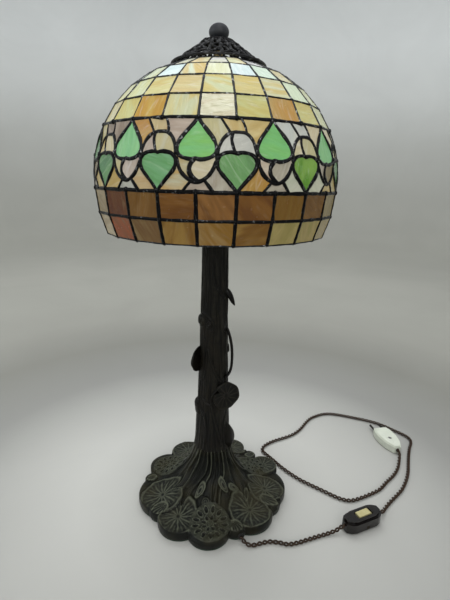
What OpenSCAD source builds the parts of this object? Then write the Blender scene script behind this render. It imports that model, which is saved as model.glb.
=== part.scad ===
// Stained glass table lamp: lily-pad base, tree trunk stem, leaded dome shade.
// Frame: millimetres, +Z up, origin at the centre of the base underside, -Y is the front.

/* [Overall] */
// Height of the top of the shade support plate above the table
cap_top_z = 630; // [629:0.5:631]
// Glass thickness of every shade panel
glass_t = 3; // [2.5:0.1:3.2]
// Number of panels in each plain row
columns = 24; // [24:1:24]

/* [Base] */
// Height of the scalloped edge of the base
edge_h = 16; // [15:0.5:18]
// Thickness of the felt underneath
felt_t = 2; // [1.5:0.1:2]
// Wall thickness of the base casting
base_wall = 5; // [4:0.5:6]

/* [Trunk] */
// Height where the trunk casting starts
trunk_z0 = 88; // [88:1:88]
// Height where the trunk casting ends
trunk_z1 = 430; // [420:1:430]
// Inner radius of the hollow trunk
trunk_bore = 13; // [10:0.5:14]

/* [Lamp pipe] */
// Outer radius of the threaded pipe
pipe_r = 5; // [5:0.1:5]
// Inner radius of the threaded pipe
pipe_bore = 3.5; // [3:0.1:3.8]
// Height of the top end of the pipe
pipe_top = 643; // [640:0.5:643]

/* [Shade] */
// Radius of the round solder beads of the rings
ring_bead = 2.2; // [1.8:0.1:2.4]
// Radius of the solder beads of the upright seams
seam_bead = 1.8; // [1.5:0.1:2]

/* [Sockets and bulbs] */
// Distance of each bulb axis from the pipe axis
bulb_x = 38; // [38:0.5:40]
// Radius of the bulb envelope
bulb_r = 30; // [28:0.5:30]
// Radius of the bulb screw cap
bulb_cap_r = 13.2; // [13.2:0.05:13.25]

/* [Cord, switch and plug] */
// Radius of the twisted cord
cord_r = 3; // [2.8:0.1:3]
// Length of the in-line switch body
switch_l = 62; // [62:1:62]
// Width of the in-line switch body
switch_w = 25; // [24:0.5:27]
// Height of the in-line switch body
switch_h = 21; // [20:0.5:22]
// Length of the plug body
plug_l = 62; // [62:1:62]
// Width of the plug body
plug_w = 35; // [33:0.5:36]
// Thickness of the plug body
plug_h = 15; // [14:0.5:16]
// Radius of the plug pins
pin_r = 2; // [2:0.1:2]
// Length of the plug pins
pin_l = 19; // [19:0.5:19]

/* [Hidden] */
$fn = 64;

// ---------------------------------------------------------------- shade data
// ring levels from the top opening to the rim: vertex radius, height
T = [53.9, 600.5]; A = [83.4, 588]; B = [104.2, 573.1]; C = [122.9, 552.9];
D = [137.1, 529.9]; K = [148.4, 495]; E = [150.1, 462.4]; F = [146.9, 434.8]; G = [138.7, 409.7];
half = 180 / columns;

// puts children on the plane of one panel: x along the row, y up the slope, z outwards
module on_cone(az, lo, hi, k)
  let (dr = (lo[0] - hi[0]) * k, dz = hi[1] - lo[1])
  rotate([0, 0, az]) translate([0, -lo[0] * k, lo[1]]) rotate([90 - atan2(dr, dz), 0, 0]) children();

function slope_len(lo, hi, k) = sqrt(pow((lo[0] - hi[0]) * k, 2) + pow(hi[1] - lo[1], 2));

// one row of flat trapezoid panels between two rings
module glass_row(lo, hi, col) {
  k = cos(half);
  L = slope_len(lo, hi, k);
  a = lo[0] * sin(half) - 1.2;
  b = hi[0] * sin(half) - 1.2;
  color(col) for (i = [0 : columns - 1])
    on_cone(i * 360 / columns, lo, hi, k) translate([0, 0, -glass_t]) linear_extrude(glass_t)
      polygon([[-a, 1.4], [a, 1.4], [b, L - 1.4], [-b, L - 1.4]]);
}

// ---------------------------------------------------------------- heart band
kb = 0.996;
came_in = 0.7;   // solder stands this far inside the glass
came_out = 0.9;  // and this far outside
Lu = slope_len(K, D, kb);
Ll = slope_len(E, K, kb);

function mir(p) = [for (i = [len(p) - 1 : -1 : 0]) [-p[i][0], p[i][1]]];
function low(p) = [for (q = p) [q[0], q[1] * 0.905]];  // the lower half of the band is a little shorter
function flip(p, L) = [for (i = [len(p) - 1 : -1 : 0]) [p[i][0], L - p[i][1]]];

// heart with its point up, right half from the point to the cleft
heart_r = [[0, 33.6], [4.5, 28], [10, 23.2], [14.6, 18.2], [16.4, 13], [15.8, 8], [12.6, 3.8], [8, 2], [3.2, 2.2], [0, 4]];
heart = concat(heart_r, [for (i = [len(heart_r) - 2 : -1 : 1]) [-heart_r[i][0], heart_r[i][1]]]);
// background glass beside the point of a heart
beside = [[3.4, 34], [16, 34], [17, 20.6], [15.6, 20.8], [11.4, 25.6], [6.6, 30]];
// glass under the inverted arch, right side of the stem
under = [[1.4, 33.4], [1.4, 13.4], [5.6, 14.2], [9.6, 17.6], [12.8, 23.6], [15.2, 33.4]];
// background glass outside the arch
outside = [[6.6, 1.6], [17, 1.6], [17, 29], [14.4, 22], [11, 15.4], [7.4, 11.6], [4.4, 9.6]];
// small piece on the axis outside the arch
small = [[-4.6, 1.6], [4.6, 1.6], [2.4, 9.4], [0, 10.2], [-2.4, 9.4]];

module band(az0, lo, hi, polys, z0, t)
  for (i = [0 : 11]) on_cone(az0 + i * 30, lo, hi, kb) translate([0, 0, z0]) linear_extrude(t)
    for (p = polys) polygon(p);

module came(az0, lo, hi, polys) {
  L = slope_len(lo, hi, kb);
  w0 = (lo[0] * kb - glass_t - came_in) * tan(half) - 0.15;
  w1 = (hi[0] * kb - glass_t - came_in) * tan(half) - 0.15;
  for (i = [0 : 11]) on_cone(az0 + i * 30, lo, hi, kb)
    translate([0, 0, -glass_t - came_in]) linear_extrude(glass_t + came_in + came_out)
      difference() {
        polygon([[-w0, 0.5], [w0, 0.5], [w1, L - 0.5], [-w1, L - 0.5]]);
        for (p = polys) polygon(p);
      }
}

module hearts_upper() color([0.55, 0.85, 0.55]) band(-half, K, D, [heart], -glass_t, glass_t);
module hearts_lower() color([0.35, 0.7, 0.35]) band(half, E, K, [flip(low(heart), Ll)], -glass_t, glass_t);
module arch_glass() color([0.9, 0.84, 0.74]) {
  band(-half, E, K, [low(under), mir(low(under))], -glass_t, glass_t);
  band(half, K, D, [flip(under, Lu), flip(mir(under), Lu)], -glass_t, glass_t);
}
module background_glass() color([0.86, 0.8, 0.75]) {
  band(-half, K, D, [beside, mir(beside)], -glass_t, glass_t);
  band(half, E, K, [flip(low(beside), Ll), flip(mir(low(beside)), Ll)], -glass_t, glass_t);
  band(-half, E, K, [outside, mir(outside)], -glass_t, glass_t);
  band(half, K, D, [flip(outside, Lu), flip(mir(outside), Lu)], -glass_t, glass_t);
}
module small_glass() color([0.93, 0.9, 0.85]) {
  band(-half, E, K, [small], -glass_t, glass_t);
  band(half, K, D, [flip(small, Lu)], -glass_t, glass_t);
}
module solder_heart_band() color([0.12, 0.12, 0.12]) {
  came(-half, K, D, [heart, beside, mir(beside)]);
  came(half, E, K, [flip(low(heart), Ll), flip(low(beside), Ll), flip(mir(low(beside)), Ll)]);
  came(-half, E, K, [low(under), mir(low(under)), outside, mir(outside), small]);
  came(half, K, D, [flip(under, Lu), flip(mir(under), Lu), flip(outside, Lu), flip(mir(outside), Lu), flip(small, Lu)]);
}

module glass_row_1() glass_row(A, T, [0.93, 0.86, 0.7]);
module glass_row_2() glass_row(B, A, [0.92, 0.88, 0.8]);
module glass_row_3() glass_row(C, B, [0.93, 0.8, 0.55]);
module glass_row_4() glass_row(D, C, [0.94, 0.76, 0.5]);
module glass_row_5() glass_row(F, E, [0.62, 0.4, 0.2]);
module glass_row_6() glass_row(G, F, [0.7, 0.5, 0.32]);

module solder_rings() color([0.12, 0.12, 0.12])
  for (p = [T, A, B, C, D, E, F, G])
    rotate_extrude($fn = 96) translate([(p[0] - 0.6) - glass_t / 2 + 0.4, p[1]]) circle(r = ring_bead, $fn = 24);

// upright solder beads between the panels of the plain rows
module seams(lo, hi)
  for (i = [0 : columns - 1])
    rotate([0, 0, (i + 0.5) * 360 / columns]) translate([0, -lo[0] + glass_t / 2, lo[1]])
      rotate([-atan2(lo[0] - hi[0], hi[1] - lo[1]), 0, 0])
        translate([0, 0, 1.2]) cylinder(h = slope_len(lo, hi, 1) - 2.4, r = seam_bead, $fn = 20);

module solder_seams() color([0.12, 0.12, 0.12]) {
  seams(A, T); seams(B, A); seams(C, B); seams(D, C); seams(F, E); seams(G, F);
}

// ---------------------------------------------------------------- vented cap and finial
module vented_cap() color([0.1, 0.1, 0.1]) difference() {
  rotate_extrude() polygon([[0, cap_top_z - 2.5], [16.5, cap_top_z - 2.5], [20.5, cap_top_z - 6.2], [26.5, cap_top_z - 11.2],
    [36.5, cap_top_z - 18.8], [46.5, cap_top_z - 25.6], [50, cap_top_z - 27.4], [54, cap_top_z - 28.5], [57.3, cap_top_z - 29.4],
    [57.5, cap_top_z - 26.8], [54, cap_top_z - 25.4], [48, cap_top_z - 22.6], [38, cap_top_z - 15.8], [28, cap_top_z - 8.2],
    [22, cap_top_z - 3.4], [17.5, cap_top_z], [0, cap_top_z]]);
  translate([0, 0, cap_top_z - 10]) cylinder(h = 20, r = pipe_r + 0.1);
  for (i = [0 : 11]) rotate([0, 0, i * 30]) {
    translate([25.5, 0, cap_top_z - 14]) cylinder(h = 20, r = 3.4, $fn = 20);
    rotate([0, 0, 15]) translate([37, 0, cap_top_z - 24]) cylinder(h = 20, r = 4.6, $fn = 20);
    translate([48.5, 0, cap_top_z - 30]) cylinder(h = 20, r = 4.8, $fn = 20);
  }
}

module finial() color([0.13, 0.13, 0.13]) difference() {
  union() {
    rotate_extrude($fn = 96) polygon([for (t = [-90 : 15 : 90]) [11.9 * cos(t), 639.6 + 9.5 * sin(t)]]);
    translate([0, 0, cap_top_z]) cylinder(h = 6, r = 6.8);
  }
  translate([0, 0, cap_top_z - 1]) cylinder(h = 14.4, r = pipe_r + 0.06);
}

// ---------------------------------------------------------------- base
// lobes of the scalloped edge: x, y and radius of each leaf, flower or bud that reaches it, anticlockwise from the front
lobes = [[-3.1, -87.6, 31.2], [33.7, -83.4, 18], [54.6, -58.9, 35.5], [78.6, -36.9, 26.2], [71.5, -9.2, 44], [84.4, 34.4, 24.4], [64.1, 65.1, 11.8],
  [35.4, 84.7, 22], [3, 86, 26], [-41.6, 70.6, 28.4], [-72.6, 36.7, 29.2], [-93.4, 5.6, 12.2], [-63.8, -22.9, 46.3], [-71.9, -54.2, 18.5], [-43.3, -72, 32.5]];
module outline(d) union() {
  circle(r = 86 - d);
  for (l = lobes) translate([l[0], l[1]]) circle(r = l[2] - d);
}
// middle of the small lobe where the cord leaves, and the direction it leaves in
exit_az = -66;
exit_p = [90 * cos(-68), 90 * sin(-68)];

module base_felt() color([0.12, 0.2, 0.14]) linear_extrude(felt_t) outline(1.2);

module bottom_plate() color([0.5, 0.5, 0.5]) translate([0, 0, felt_t]) cylinder(h = 1.5, r = 82);

module base_casting() color([0.17, 0.19, 0.16]) difference() {
  union() {
    translate([0, 0, felt_t]) linear_extrude(edge_h - felt_t) outline(0);
    rotate_extrude() polygon([[0, 10], [90, 10], [90, 16], [76, 19.5], [60, 27], [47, 37], [37, 50], [30, 67], [26, trunk_z0], [0, trunk_z0]]);
  }
  translate([0, 0, -1]) linear_extrude(edge_h - base_wall + 1) outline(base_wall);
  rotate_extrude() polygon([[0, -1], [82.5, -1], [82.5, 12], [56, 21], [42, 32], [32, 46], [25.5, 63], [21, 82], [0, 82]]);
  translate([0, 0, 70]) cylinder(h = 30, r = pipe_r + 0.2);
  translate([exit_p[0], exit_p[1], 6.5]) rotate([0, 90, exit_az]) cylinder(h = 30, r = 4);
}

module base_washer() color([0.6, 0.6, 0.6]) translate([0, 0, 79.5]) difference() {
  cylinder(h = 2.5, r = 15);
  translate([0, 0, -1]) cylinder(h = 5, r = pipe_r + 0.2);
}
module base_nut() color([0.72, 0.6, 0.3]) translate([0, 0, 72.5]) difference() {
  cylinder(h = 7, r = 9.8, $fn = 6);
  translate([0, 0, -1]) cylinder(h = 9, r = pipe_r);
}
module cord_bushing() color([0.1, 0.1, 0.1]) translate([exit_p[0], exit_p[1], 6.5]) rotate([0, 90, exit_az]) difference() {
  union() {
    translate([0, 0, 11]) cylinder(h = 8, r = 4);
    translate([0, 0, 17.9]) cylinder(h = 2.1, r = 4.4);
  }
  translate([0, 0, 5]) cylinder(h = 20, r = 2.4);
}

// ---------------------------------------------------------------- trunk
module trunk_casting() color([0.16, 0.16, 0.14]) rotate_extrude()
  polygon([[trunk_bore, trunk_z0], [25.5, trunk_z0], [24.2, 150], [22.8, 160], [20.6, 238], [18, 384], [17.2, trunk_z1], [trunk_bore, trunk_z1]]);

// tube of radius r swept along points p with n sides
function unit(v) = v / norm(v);
function tang(p, i) = unit(p[min(i + 1, len(p) - 1)] - p[max(i - 1, 0)]);
function side(t, up) = unit(cross(t, up));
function ring(p, i, r, n, up) = let (t = tang(p, i), s = side(t, up), u = cross(s, t))
  [for (k = [0 : n - 1]) p[i] + r * (s * cos(k * 360 / n) + u * sin(k * 360 / n))];
module sweep(p, r, n, up = [0, 0, 1])
  let (m = len(p), pts = [for (i = [0 : m - 1]) each ring(p, i, r, n, up)],
    walls = [for (i = [0 : m - 2]) for (k = [0 : n - 1]) each
      [[i * n + k, i * n + (k + 1) % n, (i + 1) * n + (k + 1) % n], [i * n + k, (i + 1) * n + (k + 1) % n, (i + 1) * n + k]]],
    cap0 = [[for (k = [n - 1 : -1 : 0]) k]], cap1 = [[for (k = [0 : n - 1]) (m - 1) * n + k]])
  polyhedron(points = pts, faces = concat(walls, cap0, cap1));

// loop of vine standing free of the trunk on the right
vine = [[15, -6, 280], [19, -8, 273], [22.5, -9, 263], [25.4, -9, 248], [26.4, -9, 232], [25.6, -9.5, 217], [22.5, -11, 207], [17, -13, 200]];
module lily_vine() color([0.15, 0.15, 0.13]) {
  sweep(vine, 2, 8, [0, 1, 0]);
  // round leaf at the left, nearly edge on from the front
  translate([-22, -6, 226]) rotate([90, 0, -62]) cylinder(h = 3, r = 19, center = true);
  // round leaf at the right, facing the front right
  translate([18.5, -17, 175]) rotate([90, 0, 26]) cylinder(h = 3.4, r = 21.5, center = true);
  // pointed leaves: the low one against the trunk and the bud near the top
  translate([26, -11, 90]) rotate([90, 0, 55]) translate([0, 0, -1.5]) linear_extrude(4) polygon([[-6, 0], [7, 0], [9, 10], [8, 22], [2, 40], [-5, 22], [-8, 10]]);
  translate([17, -7, 305]) rotate([90, 0, 40]) translate([0, 0, -1.5]) linear_extrude(3.5) polygon([[10.5, 1], [9, 10], [4, 19], [-3, 26], [-4, 18], [0, 9]]);
  translate([-18, -5, 286]) sphere(r = 6, $fn = 32);
  translate([-21, -6, 155]) sphere(r = 8.5, $fn = 32);
}

module trunk_collar() color([0.3, 0.26, 0.2]) translate([0, 0, trunk_z1]) difference() {
  rotate_extrude() polygon([[0, 0], [17.2, 0], [17.2, 3], [14, 6], [9, 8], [0, 8]]);
  translate([0, 0, -1]) cylinder(h = 10, r = pipe_r);
}

// ---------------------------------------------------------------- pipe, cluster and sockets
module lamp_pipe() color([0.75, 0.65, 0.35]) difference() {
  translate([0, 0, 66]) cylinder(h = pipe_top - 66, r = pipe_r);
  translate([0, 0, 65]) cylinder(h = pipe_top - 60, r = pipe_bore);
}

// wire that runs from the bushing through the base and up the pipe
wire = [[38.8, -94.8, 6.5], [36, -88.5, 7], [31, -78, 9], [25, -62, 14], [18, -42, 22], [10, -24, 34], [3.5, -10, 47], [0, 0, 60], [0, 0, 75],
  [0, 0, 150], [0, 0, 250], [0, 0, 350], [0, 0, 440]];
module inner_wire() color([0.35, 0.22, 0.12]) sweep(wire, 2, 8, [1, 0, 0]);

module cluster_body() color([0.72, 0.6, 0.32]) translate([0, 0, trunk_z1 + 8]) difference() {
  rotate_extrude() polygon([[0, 0], [9, 0], [13, 3], [15, 8], [15, 16], [12, 21], [8, 24], [0, 24]]);
  translate([0, 0, -1]) cylinder(h = 40, r = pipe_r);
}
module arm() difference() {
  union() {
    translate([14, 0, 450]) rotate([0, 90, 0]) cylinder(h = bulb_x - 14, r = 4.5);
    translate([bulb_x, 0, 450]) sphere(r = 4.5);
    translate([bulb_x, 0, 450]) cylinder(h = 7, r = 4.5);
  }
  translate([bulb_x, 0, 450]) cylinder(h = 20, r = 2.5);
  translate([10, 0, 450]) rotate([0, 90, 0]) cylinder(h = bulb_x - 10, r = 2.5);
}
module both() for (s = [0, 180]) rotate([0, 0, s]) children();
module cluster_arms() color([0.72, 0.6, 0.32]) both() arm();

module socket_shells() color([0.15, 0.13, 0.11]) both() translate([bulb_x, 0, 457]) difference() {
  rotate_extrude() polygon([[0, 0], [16.5, 0], [19, 4], [19, 50], [0, 50]]);
  translate([0, 0, 3]) cylinder(h = 60, r = 15.25);
  translate([0, 0, -1]) cylinder(h = 10, r = 2.5);
}
module socket_insulators() color([0.93, 0.92, 0.88]) both() translate([bulb_x, 0, 460]) difference() {
  cylinder(h = 9, r = 15.2);
  translate([4, 0, 3]) rotate([0, 0, 90]) cylinder(h = 10, r = 1.2);
}
module socket_liners() color([0.8, 0.7, 0.4]) both() translate([bulb_x, 0, 469]) difference() {
  cylinder(h = 34, r = 15.2);
  translate([0, 0, -1]) cylinder(h = 40, r = bulb_cap_r + 0.09);
}
module socket_contacts() color([0.8, 0.6, 0.35]) both() translate([bulb_x, 0, 469]) cylinder(h = 6, r = 4);

module shade_lock_nut() color([0.72, 0.6, 0.32]) translate([0, 0, cap_top_z - 10.5]) difference() {
  cylinder(h = 6, r = 8.7, $fn = 6);
  translate([0, 0, -1]) cylinder(h = 9, r = pipe_r);
}
module shade_washer() color([0.72, 0.6, 0.32]) translate([0, 0, cap_top_z - 4.5]) difference() {
  cylinder(h = 2, r = 13);
  translate([0, 0, -1]) cylinder(h = 5, r = pipe_r);
}

// ---------------------------------------------------------------- bulbs
module envelope(d) rotate_extrude() difference() {
  union() {
    translate([0, 553]) circle(r = bulb_r - d);
    polygon([[0, 503.2 + d], [13.4 - d, 503.2 + d], [14.6 - d, 513], [18.5 - d, 524], [24.5 - d, 536], [28 - d, 543], [0, 553]]);
  }
  translate([-60, 480]) square([60, 120]);
}
module bulb_glass() color([0.95, 0.95, 0.93, 0.8]) difference() { envelope(0); envelope(1); }
module bulb_cap() color([0.8, 0.8, 0.8]) rotate_extrude()
  polygon([[0, 475.1], [4.5, 475.1], [5, 477], [9, 479], [bulb_cap_r, 481], [bulb_cap_r, 503.2], [0, 503.2]]);
module bulb_left_glass() translate([-bulb_x, 0, 0]) bulb_glass();
module bulb_left_cap() translate([-bulb_x, 0, 0]) bulb_cap();
module bulb_right_glass() translate([bulb_x, 0, 0]) bulb_glass();
module bulb_right_cap() translate([bulb_x, 0, 0]) bulb_cap();

// ---------------------------------------------------------------- cord
// route of the cord on the table, from the base to the switch
route_1 = [[41.8, -101.6, 6.5], [43.5, -105.5, 6.3], [47, -109.5, 5.2], [52, -112, 4], [59, -111.5, 3.3], [67, -109, 3.1], [79, -106, 3.1], [92, -107, 3.1],
  [104, -110, 3.1], [117, -108, 3.1], [132, -103, 3.1], [149, -97, 3.1], [163, -93, 3.6], [176, -90, 6.5], [188.34, -85.82, 10.5]];
// and from the switch to the plug
route_2 = [[245.66, -62.18, 10.5], [254, -57, 7], [263, -46, 3.6], [275, -34, 3.1], [291, -20, 3.1], [306, -6, 3.1], [321, 13, 3.1], [334, 34, 3.1], [345, 57, 3.1],
  [356, 80, 3.1], [367, 101, 3.1], [376, 115, 3.1], [380, 126, 3.1], [378, 137, 3.1], [370, 148, 3.1], [358, 161, 3.1], [345, 175, 3.1], [330, 186, 3.1], [312, 195, 3.1],
  [292, 203, 3.1], [270, 211, 3.1], [250, 216, 3.1], [235, 215, 3.1], [218, 208, 3.1], [202, 197, 3.1], [189, 181, 3.1], [177, 163, 3.1], [164, 148, 3.1],
  [150, 137, 3.1], [133, 128, 3.1], [115, 119, 3.1], [101, 109, 3.1], [93, 99, 3.1], [92, 89, 3.1], [98, 79, 3.1], [108, 64, 3.1], [118, 48, 3.1], [131, 31, 3.1], [146, 15, 3.1],
  [162, 2, 3.1], [178, -10, 3.1], [192, -21, 3.1], [204, -28, 3.1], [216, -30, 3.1], [230, -26, 3.1], [250, -17, 3.1], [270, -6, 3.1], [288, 11, 3.1], [306, 27, 3.1], [321, 45, 3.4], [332, 65, 5], [338, 79, 7], [339, 89, 7.5]];
module cord_base_to_switch() color([0.3, 0.18, 0.1]) sweep(route_1, cord_r, 8);
module cord_switch_to_plug() color([0.3, 0.18, 0.1]) sweep(route_2, cord_r, 8);

// ---------------------------------------------------------------- in-line switch
sw_p = [217, -74, 0];
sw_a = 22.4;
module at_switch() translate(sw_p) rotate([0, 0, sw_a]) children();
// outline of the switch body seen from above, d inside
function sw_out(d) = let (l = switch_l / 2 - d, w = switch_w / 2 - d) [[-l, -5 + d / 2], [-l + 6, -w + 2], [-l + 13, -w], [l - 13, -w], [l - 6, -w + 2], [l, -5 + d / 2],
  [l, 5 - d / 2], [l - 6, w - 2], [l - 13, w], [-l + 13, w], [-l + 6, w - 2], [-l, 5 - d / 2]];
// whole switch body, split along its length into two shells
module switch_body() difference() {
  union() {
    linear_extrude(3) polygon(sw_out(2));
    translate([0, 0, 3]) linear_extrude(13.5) polygon(sw_out(0));
    translate([0, 0, 16.5]) linear_extrude(switch_h - 16.5) polygon(sw_out(2.4));
  }
  translate([0, 0, 2.5]) linear_extrude(switch_h - 5) polygon(sw_out(3));
  translate([-11.6, -6, 10]) cube([26.2, 11, 20]);
  translate([1.5, 0, 14]) rotate([90, 0, 0]) cylinder(h = 22, r = 1, center = true);
  translate([1.5, 0, 6.5]) rotate([90, 0, 0]) cylinder(h = 22, r = 1.5, center = true);
  translate([1.5, -10.9, 6.5]) rotate([90, 0, 0]) cylinder(h = 3, r = 2.6);
  for (s = [-1, 1]) translate([s * 31, 0, 10.5]) rotate([0, 90, 0]) cylinder(h = 12, r = 2.2, center = true);
}
module switch_front_shell() color([0.06, 0.06, 0.06]) at_switch() intersection() {
  switch_body();
  translate([-40, -20, -1]) cube([80, 20, 30]);
}
module switch_back_shell() color([0.06, 0.06, 0.06]) at_switch() intersection() {
  switch_body();
  translate([-40, 0, -1]) cube([80, 20, 30]);
}
module switch_rocker() color([0.88, 0.84, 0.6]) at_switch() translate([1.5, -0.5, 14]) difference() {
  rotate([90, 0, 0]) translate([0, 0, -4.9]) linear_extrude(9.8)
    polygon([[-11, 8], [-11.2, 1.4], [-5, -2.6], [3, -2.6], [11, 4.6], [11.4, 6.4], [8.6, 8.7]]);
  translate([0, 0, 0]) rotate([90, 0, 0]) cylinder(h = 20, r = 1.06, center = true);
}
module rocker_pin() color([0.75, 0.75, 0.72]) at_switch() translate([1.5, 0, 14]) rotate([90, 0, 0]) cylinder(h = 22, r = 1, center = true);
module switch_contacts() color([0.8, 0.62, 0.35]) at_switch() {
  translate([-21, -4, 2.5]) cube([14, 8, 1.2]);
  translate([9, -4, 2.5]) cube([13, 8, 1.2]);
  translate([-22, -3, 3.7]) cube([4, 6, 4]);
  translate([18, -3, 3.7]) cube([4, 6, 4]);
}
module switch_screw() color([0.75, 0.75, 0.72]) at_switch() translate([1.5, 0, 6.5]) rotate([90, 0, 0]) difference() {
  union() { translate([0, 0, -11]) cylinder(h = 22, r = 1.5); translate([0, 0, 10.9]) cylinder(h = 1.4, r = 2.6); }
  translate([-4, -0.3, 11.7]) cube([8, 0.6, 2]);
}

// ---------------------------------------------------------------- plug
pl_p = [339, 89, 0];
pl_a = 99;
module at_plug() translate(pl_p) rotate([0, 0, pl_a]) children();
// outline of the plug body seen from above: x from the cord end to the pins
function pl_out(d) = let (l = plug_l, w = plug_w / 2) [[d, -6 + d / 2], [16 + d / 2, -14 + d], [34, -w + d], [50, -w + 0.6 + d], [l - d, -13 + d], [l - d, 13 - d],
  [50, w - 0.6 - d], [34, w - d], [16 + d / 2, 14 - d], [d, 6 - d / 2]];
pz = plug_h / 2;
module plug_cut() {
  translate([-5, 0, pz]) rotate([0, 90, 0]) cylinder(h = 14, r = 3.2);
  translate([0, 0, pz - 3.5]) linear_extrude(7) polygon([[8, -4], [18, -10], [48, -10], [48, 10], [18, 10], [8, 4]]);
  for (s = [-1, 1]) translate([46, s * 9.3, pz]) rotate([0, 90, 0]) cylinder(h = 30, r = pin_r - 0.2);
}
module plug_base() color([0.87, 0.87, 0.8]) at_plug() difference() {
  union() {
    linear_extrude(1.6) polygon(pl_out(1.6));
    translate([0, 0, 1.6]) linear_extrude(pz - 1.6) polygon(pl_out(0));
  }
  plug_cut();
  translate([27, 0, 2]) cylinder(h = 20, r = 1.6);
}
module plug_cover() color([0.9, 0.9, 0.84]) at_plug() difference() {
  union() {
    translate([0, 0, pz]) linear_extrude(pz - 1.6) polygon(pl_out(0));
    translate([0, 0, plug_h - 1.6]) linear_extrude(1.6) polygon(pl_out(1.8));
  }
  plug_cut();
  translate([27, 0, 2]) cylinder(h = 20, r = 1.6);
  translate([27, 0, plug_h - 1.6]) cylinder(h = 3, r = 3.4);
}
module plug_pins() color([0.15, 0.15, 0.15]) at_plug() for (s = [-1, 1]) {
  translate([48, s * 9.3, pz]) rotate([0, 90, 0]) cylinder(h = plug_l - 48 + 1, r = pin_r - 0.2);
  translate([plug_l, s * 9.3, pz]) rotate([0, 90, 0]) cylinder(h = pin_l, r = pin_r);
  translate([40, s * 7.5 - 1.5 + s, pz - 2.5]) cube([8, 3, 5]);
}
module plug_screw() color([0.75, 0.72, 0.6]) at_plug() translate([27, 0, 0]) difference() {
  union() { translate([0, 0, 2]) cylinder(h = plug_h - 3.6, r = 1.6); translate([0, 0, plug_h - 1.6]) cylinder(h = 1.4, r = 3.3); }
  translate([-4, -0.4, plug_h - 0.9]) cube([8, 0.8, 2]);
}
module plug_grommet() color([0.12, 0.1, 0.09]) at_plug() translate([0, 0, pz]) rotate([0, 90, 0]) cylinder(h = 8, r = 3.2);

base_felt();
bottom_plate();
base_casting();
base_washer();
base_nut();
trunk_casting();
lily_vine();
trunk_collar();
lamp_pipe();
inner_wire();
cord_bushing();
cluster_body();
cluster_arms();
socket_shells();
socket_insulators();
socket_liners();
socket_contacts();
shade_lock_nut();
shade_washer();
bulb_left_glass();
bulb_left_cap();
bulb_right_glass();
bulb_right_cap();
glass_row_1();
glass_row_2();
glass_row_3();
glass_row_4();
glass_row_5();
glass_row_6();
hearts_upper();
hearts_lower();
arch_glass();
background_glass();
small_glass();
solder_rings();
solder_seams();
solder_heart_band();
vented_cap();
finial();
cord_base_to_switch();
cord_switch_to_plug();
switch_front_shell();
switch_back_shell();
switch_rocker();
rocker_pin();
switch_contacts();
switch_screw();
plug_base();
plug_cover();
plug_pins();
plug_screw();
plug_grommet();
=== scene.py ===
import bpy
import math
import numpy as np
from mathutils import Vector, Matrix
from mathutils.geometry import tessellate_polygon


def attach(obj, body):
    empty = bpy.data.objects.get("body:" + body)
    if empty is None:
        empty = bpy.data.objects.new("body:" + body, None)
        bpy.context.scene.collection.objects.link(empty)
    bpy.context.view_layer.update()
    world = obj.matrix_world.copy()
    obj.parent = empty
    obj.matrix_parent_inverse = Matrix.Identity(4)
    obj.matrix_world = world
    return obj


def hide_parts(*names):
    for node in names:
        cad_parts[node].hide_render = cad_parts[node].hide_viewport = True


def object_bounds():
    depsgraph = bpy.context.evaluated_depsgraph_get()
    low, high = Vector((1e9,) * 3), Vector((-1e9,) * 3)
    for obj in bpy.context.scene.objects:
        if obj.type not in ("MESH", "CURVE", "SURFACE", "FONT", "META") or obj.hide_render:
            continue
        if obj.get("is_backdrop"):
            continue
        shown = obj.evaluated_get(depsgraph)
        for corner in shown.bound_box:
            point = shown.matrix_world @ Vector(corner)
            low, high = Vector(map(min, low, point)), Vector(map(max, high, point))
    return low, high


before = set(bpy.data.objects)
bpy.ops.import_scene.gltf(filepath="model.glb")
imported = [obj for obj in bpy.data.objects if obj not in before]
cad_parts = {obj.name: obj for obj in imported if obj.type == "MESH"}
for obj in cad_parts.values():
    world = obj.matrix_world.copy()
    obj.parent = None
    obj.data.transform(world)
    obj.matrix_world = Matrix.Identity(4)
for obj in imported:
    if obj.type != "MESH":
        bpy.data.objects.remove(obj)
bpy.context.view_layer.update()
MM = 0.001
D2R = math.pi / 180

# ------------------------------------------------------------------ camera
scene = bpy.context.scene
CAM = (0.0, -0.550, 0.474)
PITCH, ROLL, YAW = 16.25 * D2R, 1.39 * D2R, 1.52 * D2R
cam_data = bpy.data.cameras.new("camera")
cam = bpy.data.objects.new("camera", cam_data)
scene.collection.objects.link(cam)
fw = Vector((math.sin(YAW) * math.cos(PITCH), math.cos(YAW) * math.cos(PITCH), -math.sin(PITCH)))
rt = Vector((math.cos(YAW), -math.sin(YAW), 0))
up = rt.cross(fw)
rt2 = math.cos(ROLL) * rt + math.sin(ROLL) * up
up2 = -math.sin(ROLL) * rt + math.cos(ROLL) * up
rot = Matrix((rt2, up2, -fw)).transposed()
cam.matrix_world = Matrix.Translation(CAM) @ rot.to_4x4()
cam_data.lens = 36 * 411.5 / 600
cam_data.sensor_width = 36
cam_data.sensor_fit = "AUTO"
cam_data.clip_start, cam_data.clip_end = 0.01, 50
scene.camera = cam


# ------------------------------------------------------------------ numbers
def lin(c):
    return tuple(((v / 255) / 12.92 if v / 255 <= 0.04045 else ((v / 255 + 0.055) / 1.055) ** 2.4) for v in c)


def hash3(i, j, k, seed):
    v = np.sin(i * 127.1 + j * 311.7 + k * 74.7 + seed * 53.3) * 43758.5453
    return v - np.floor(v)


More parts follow.
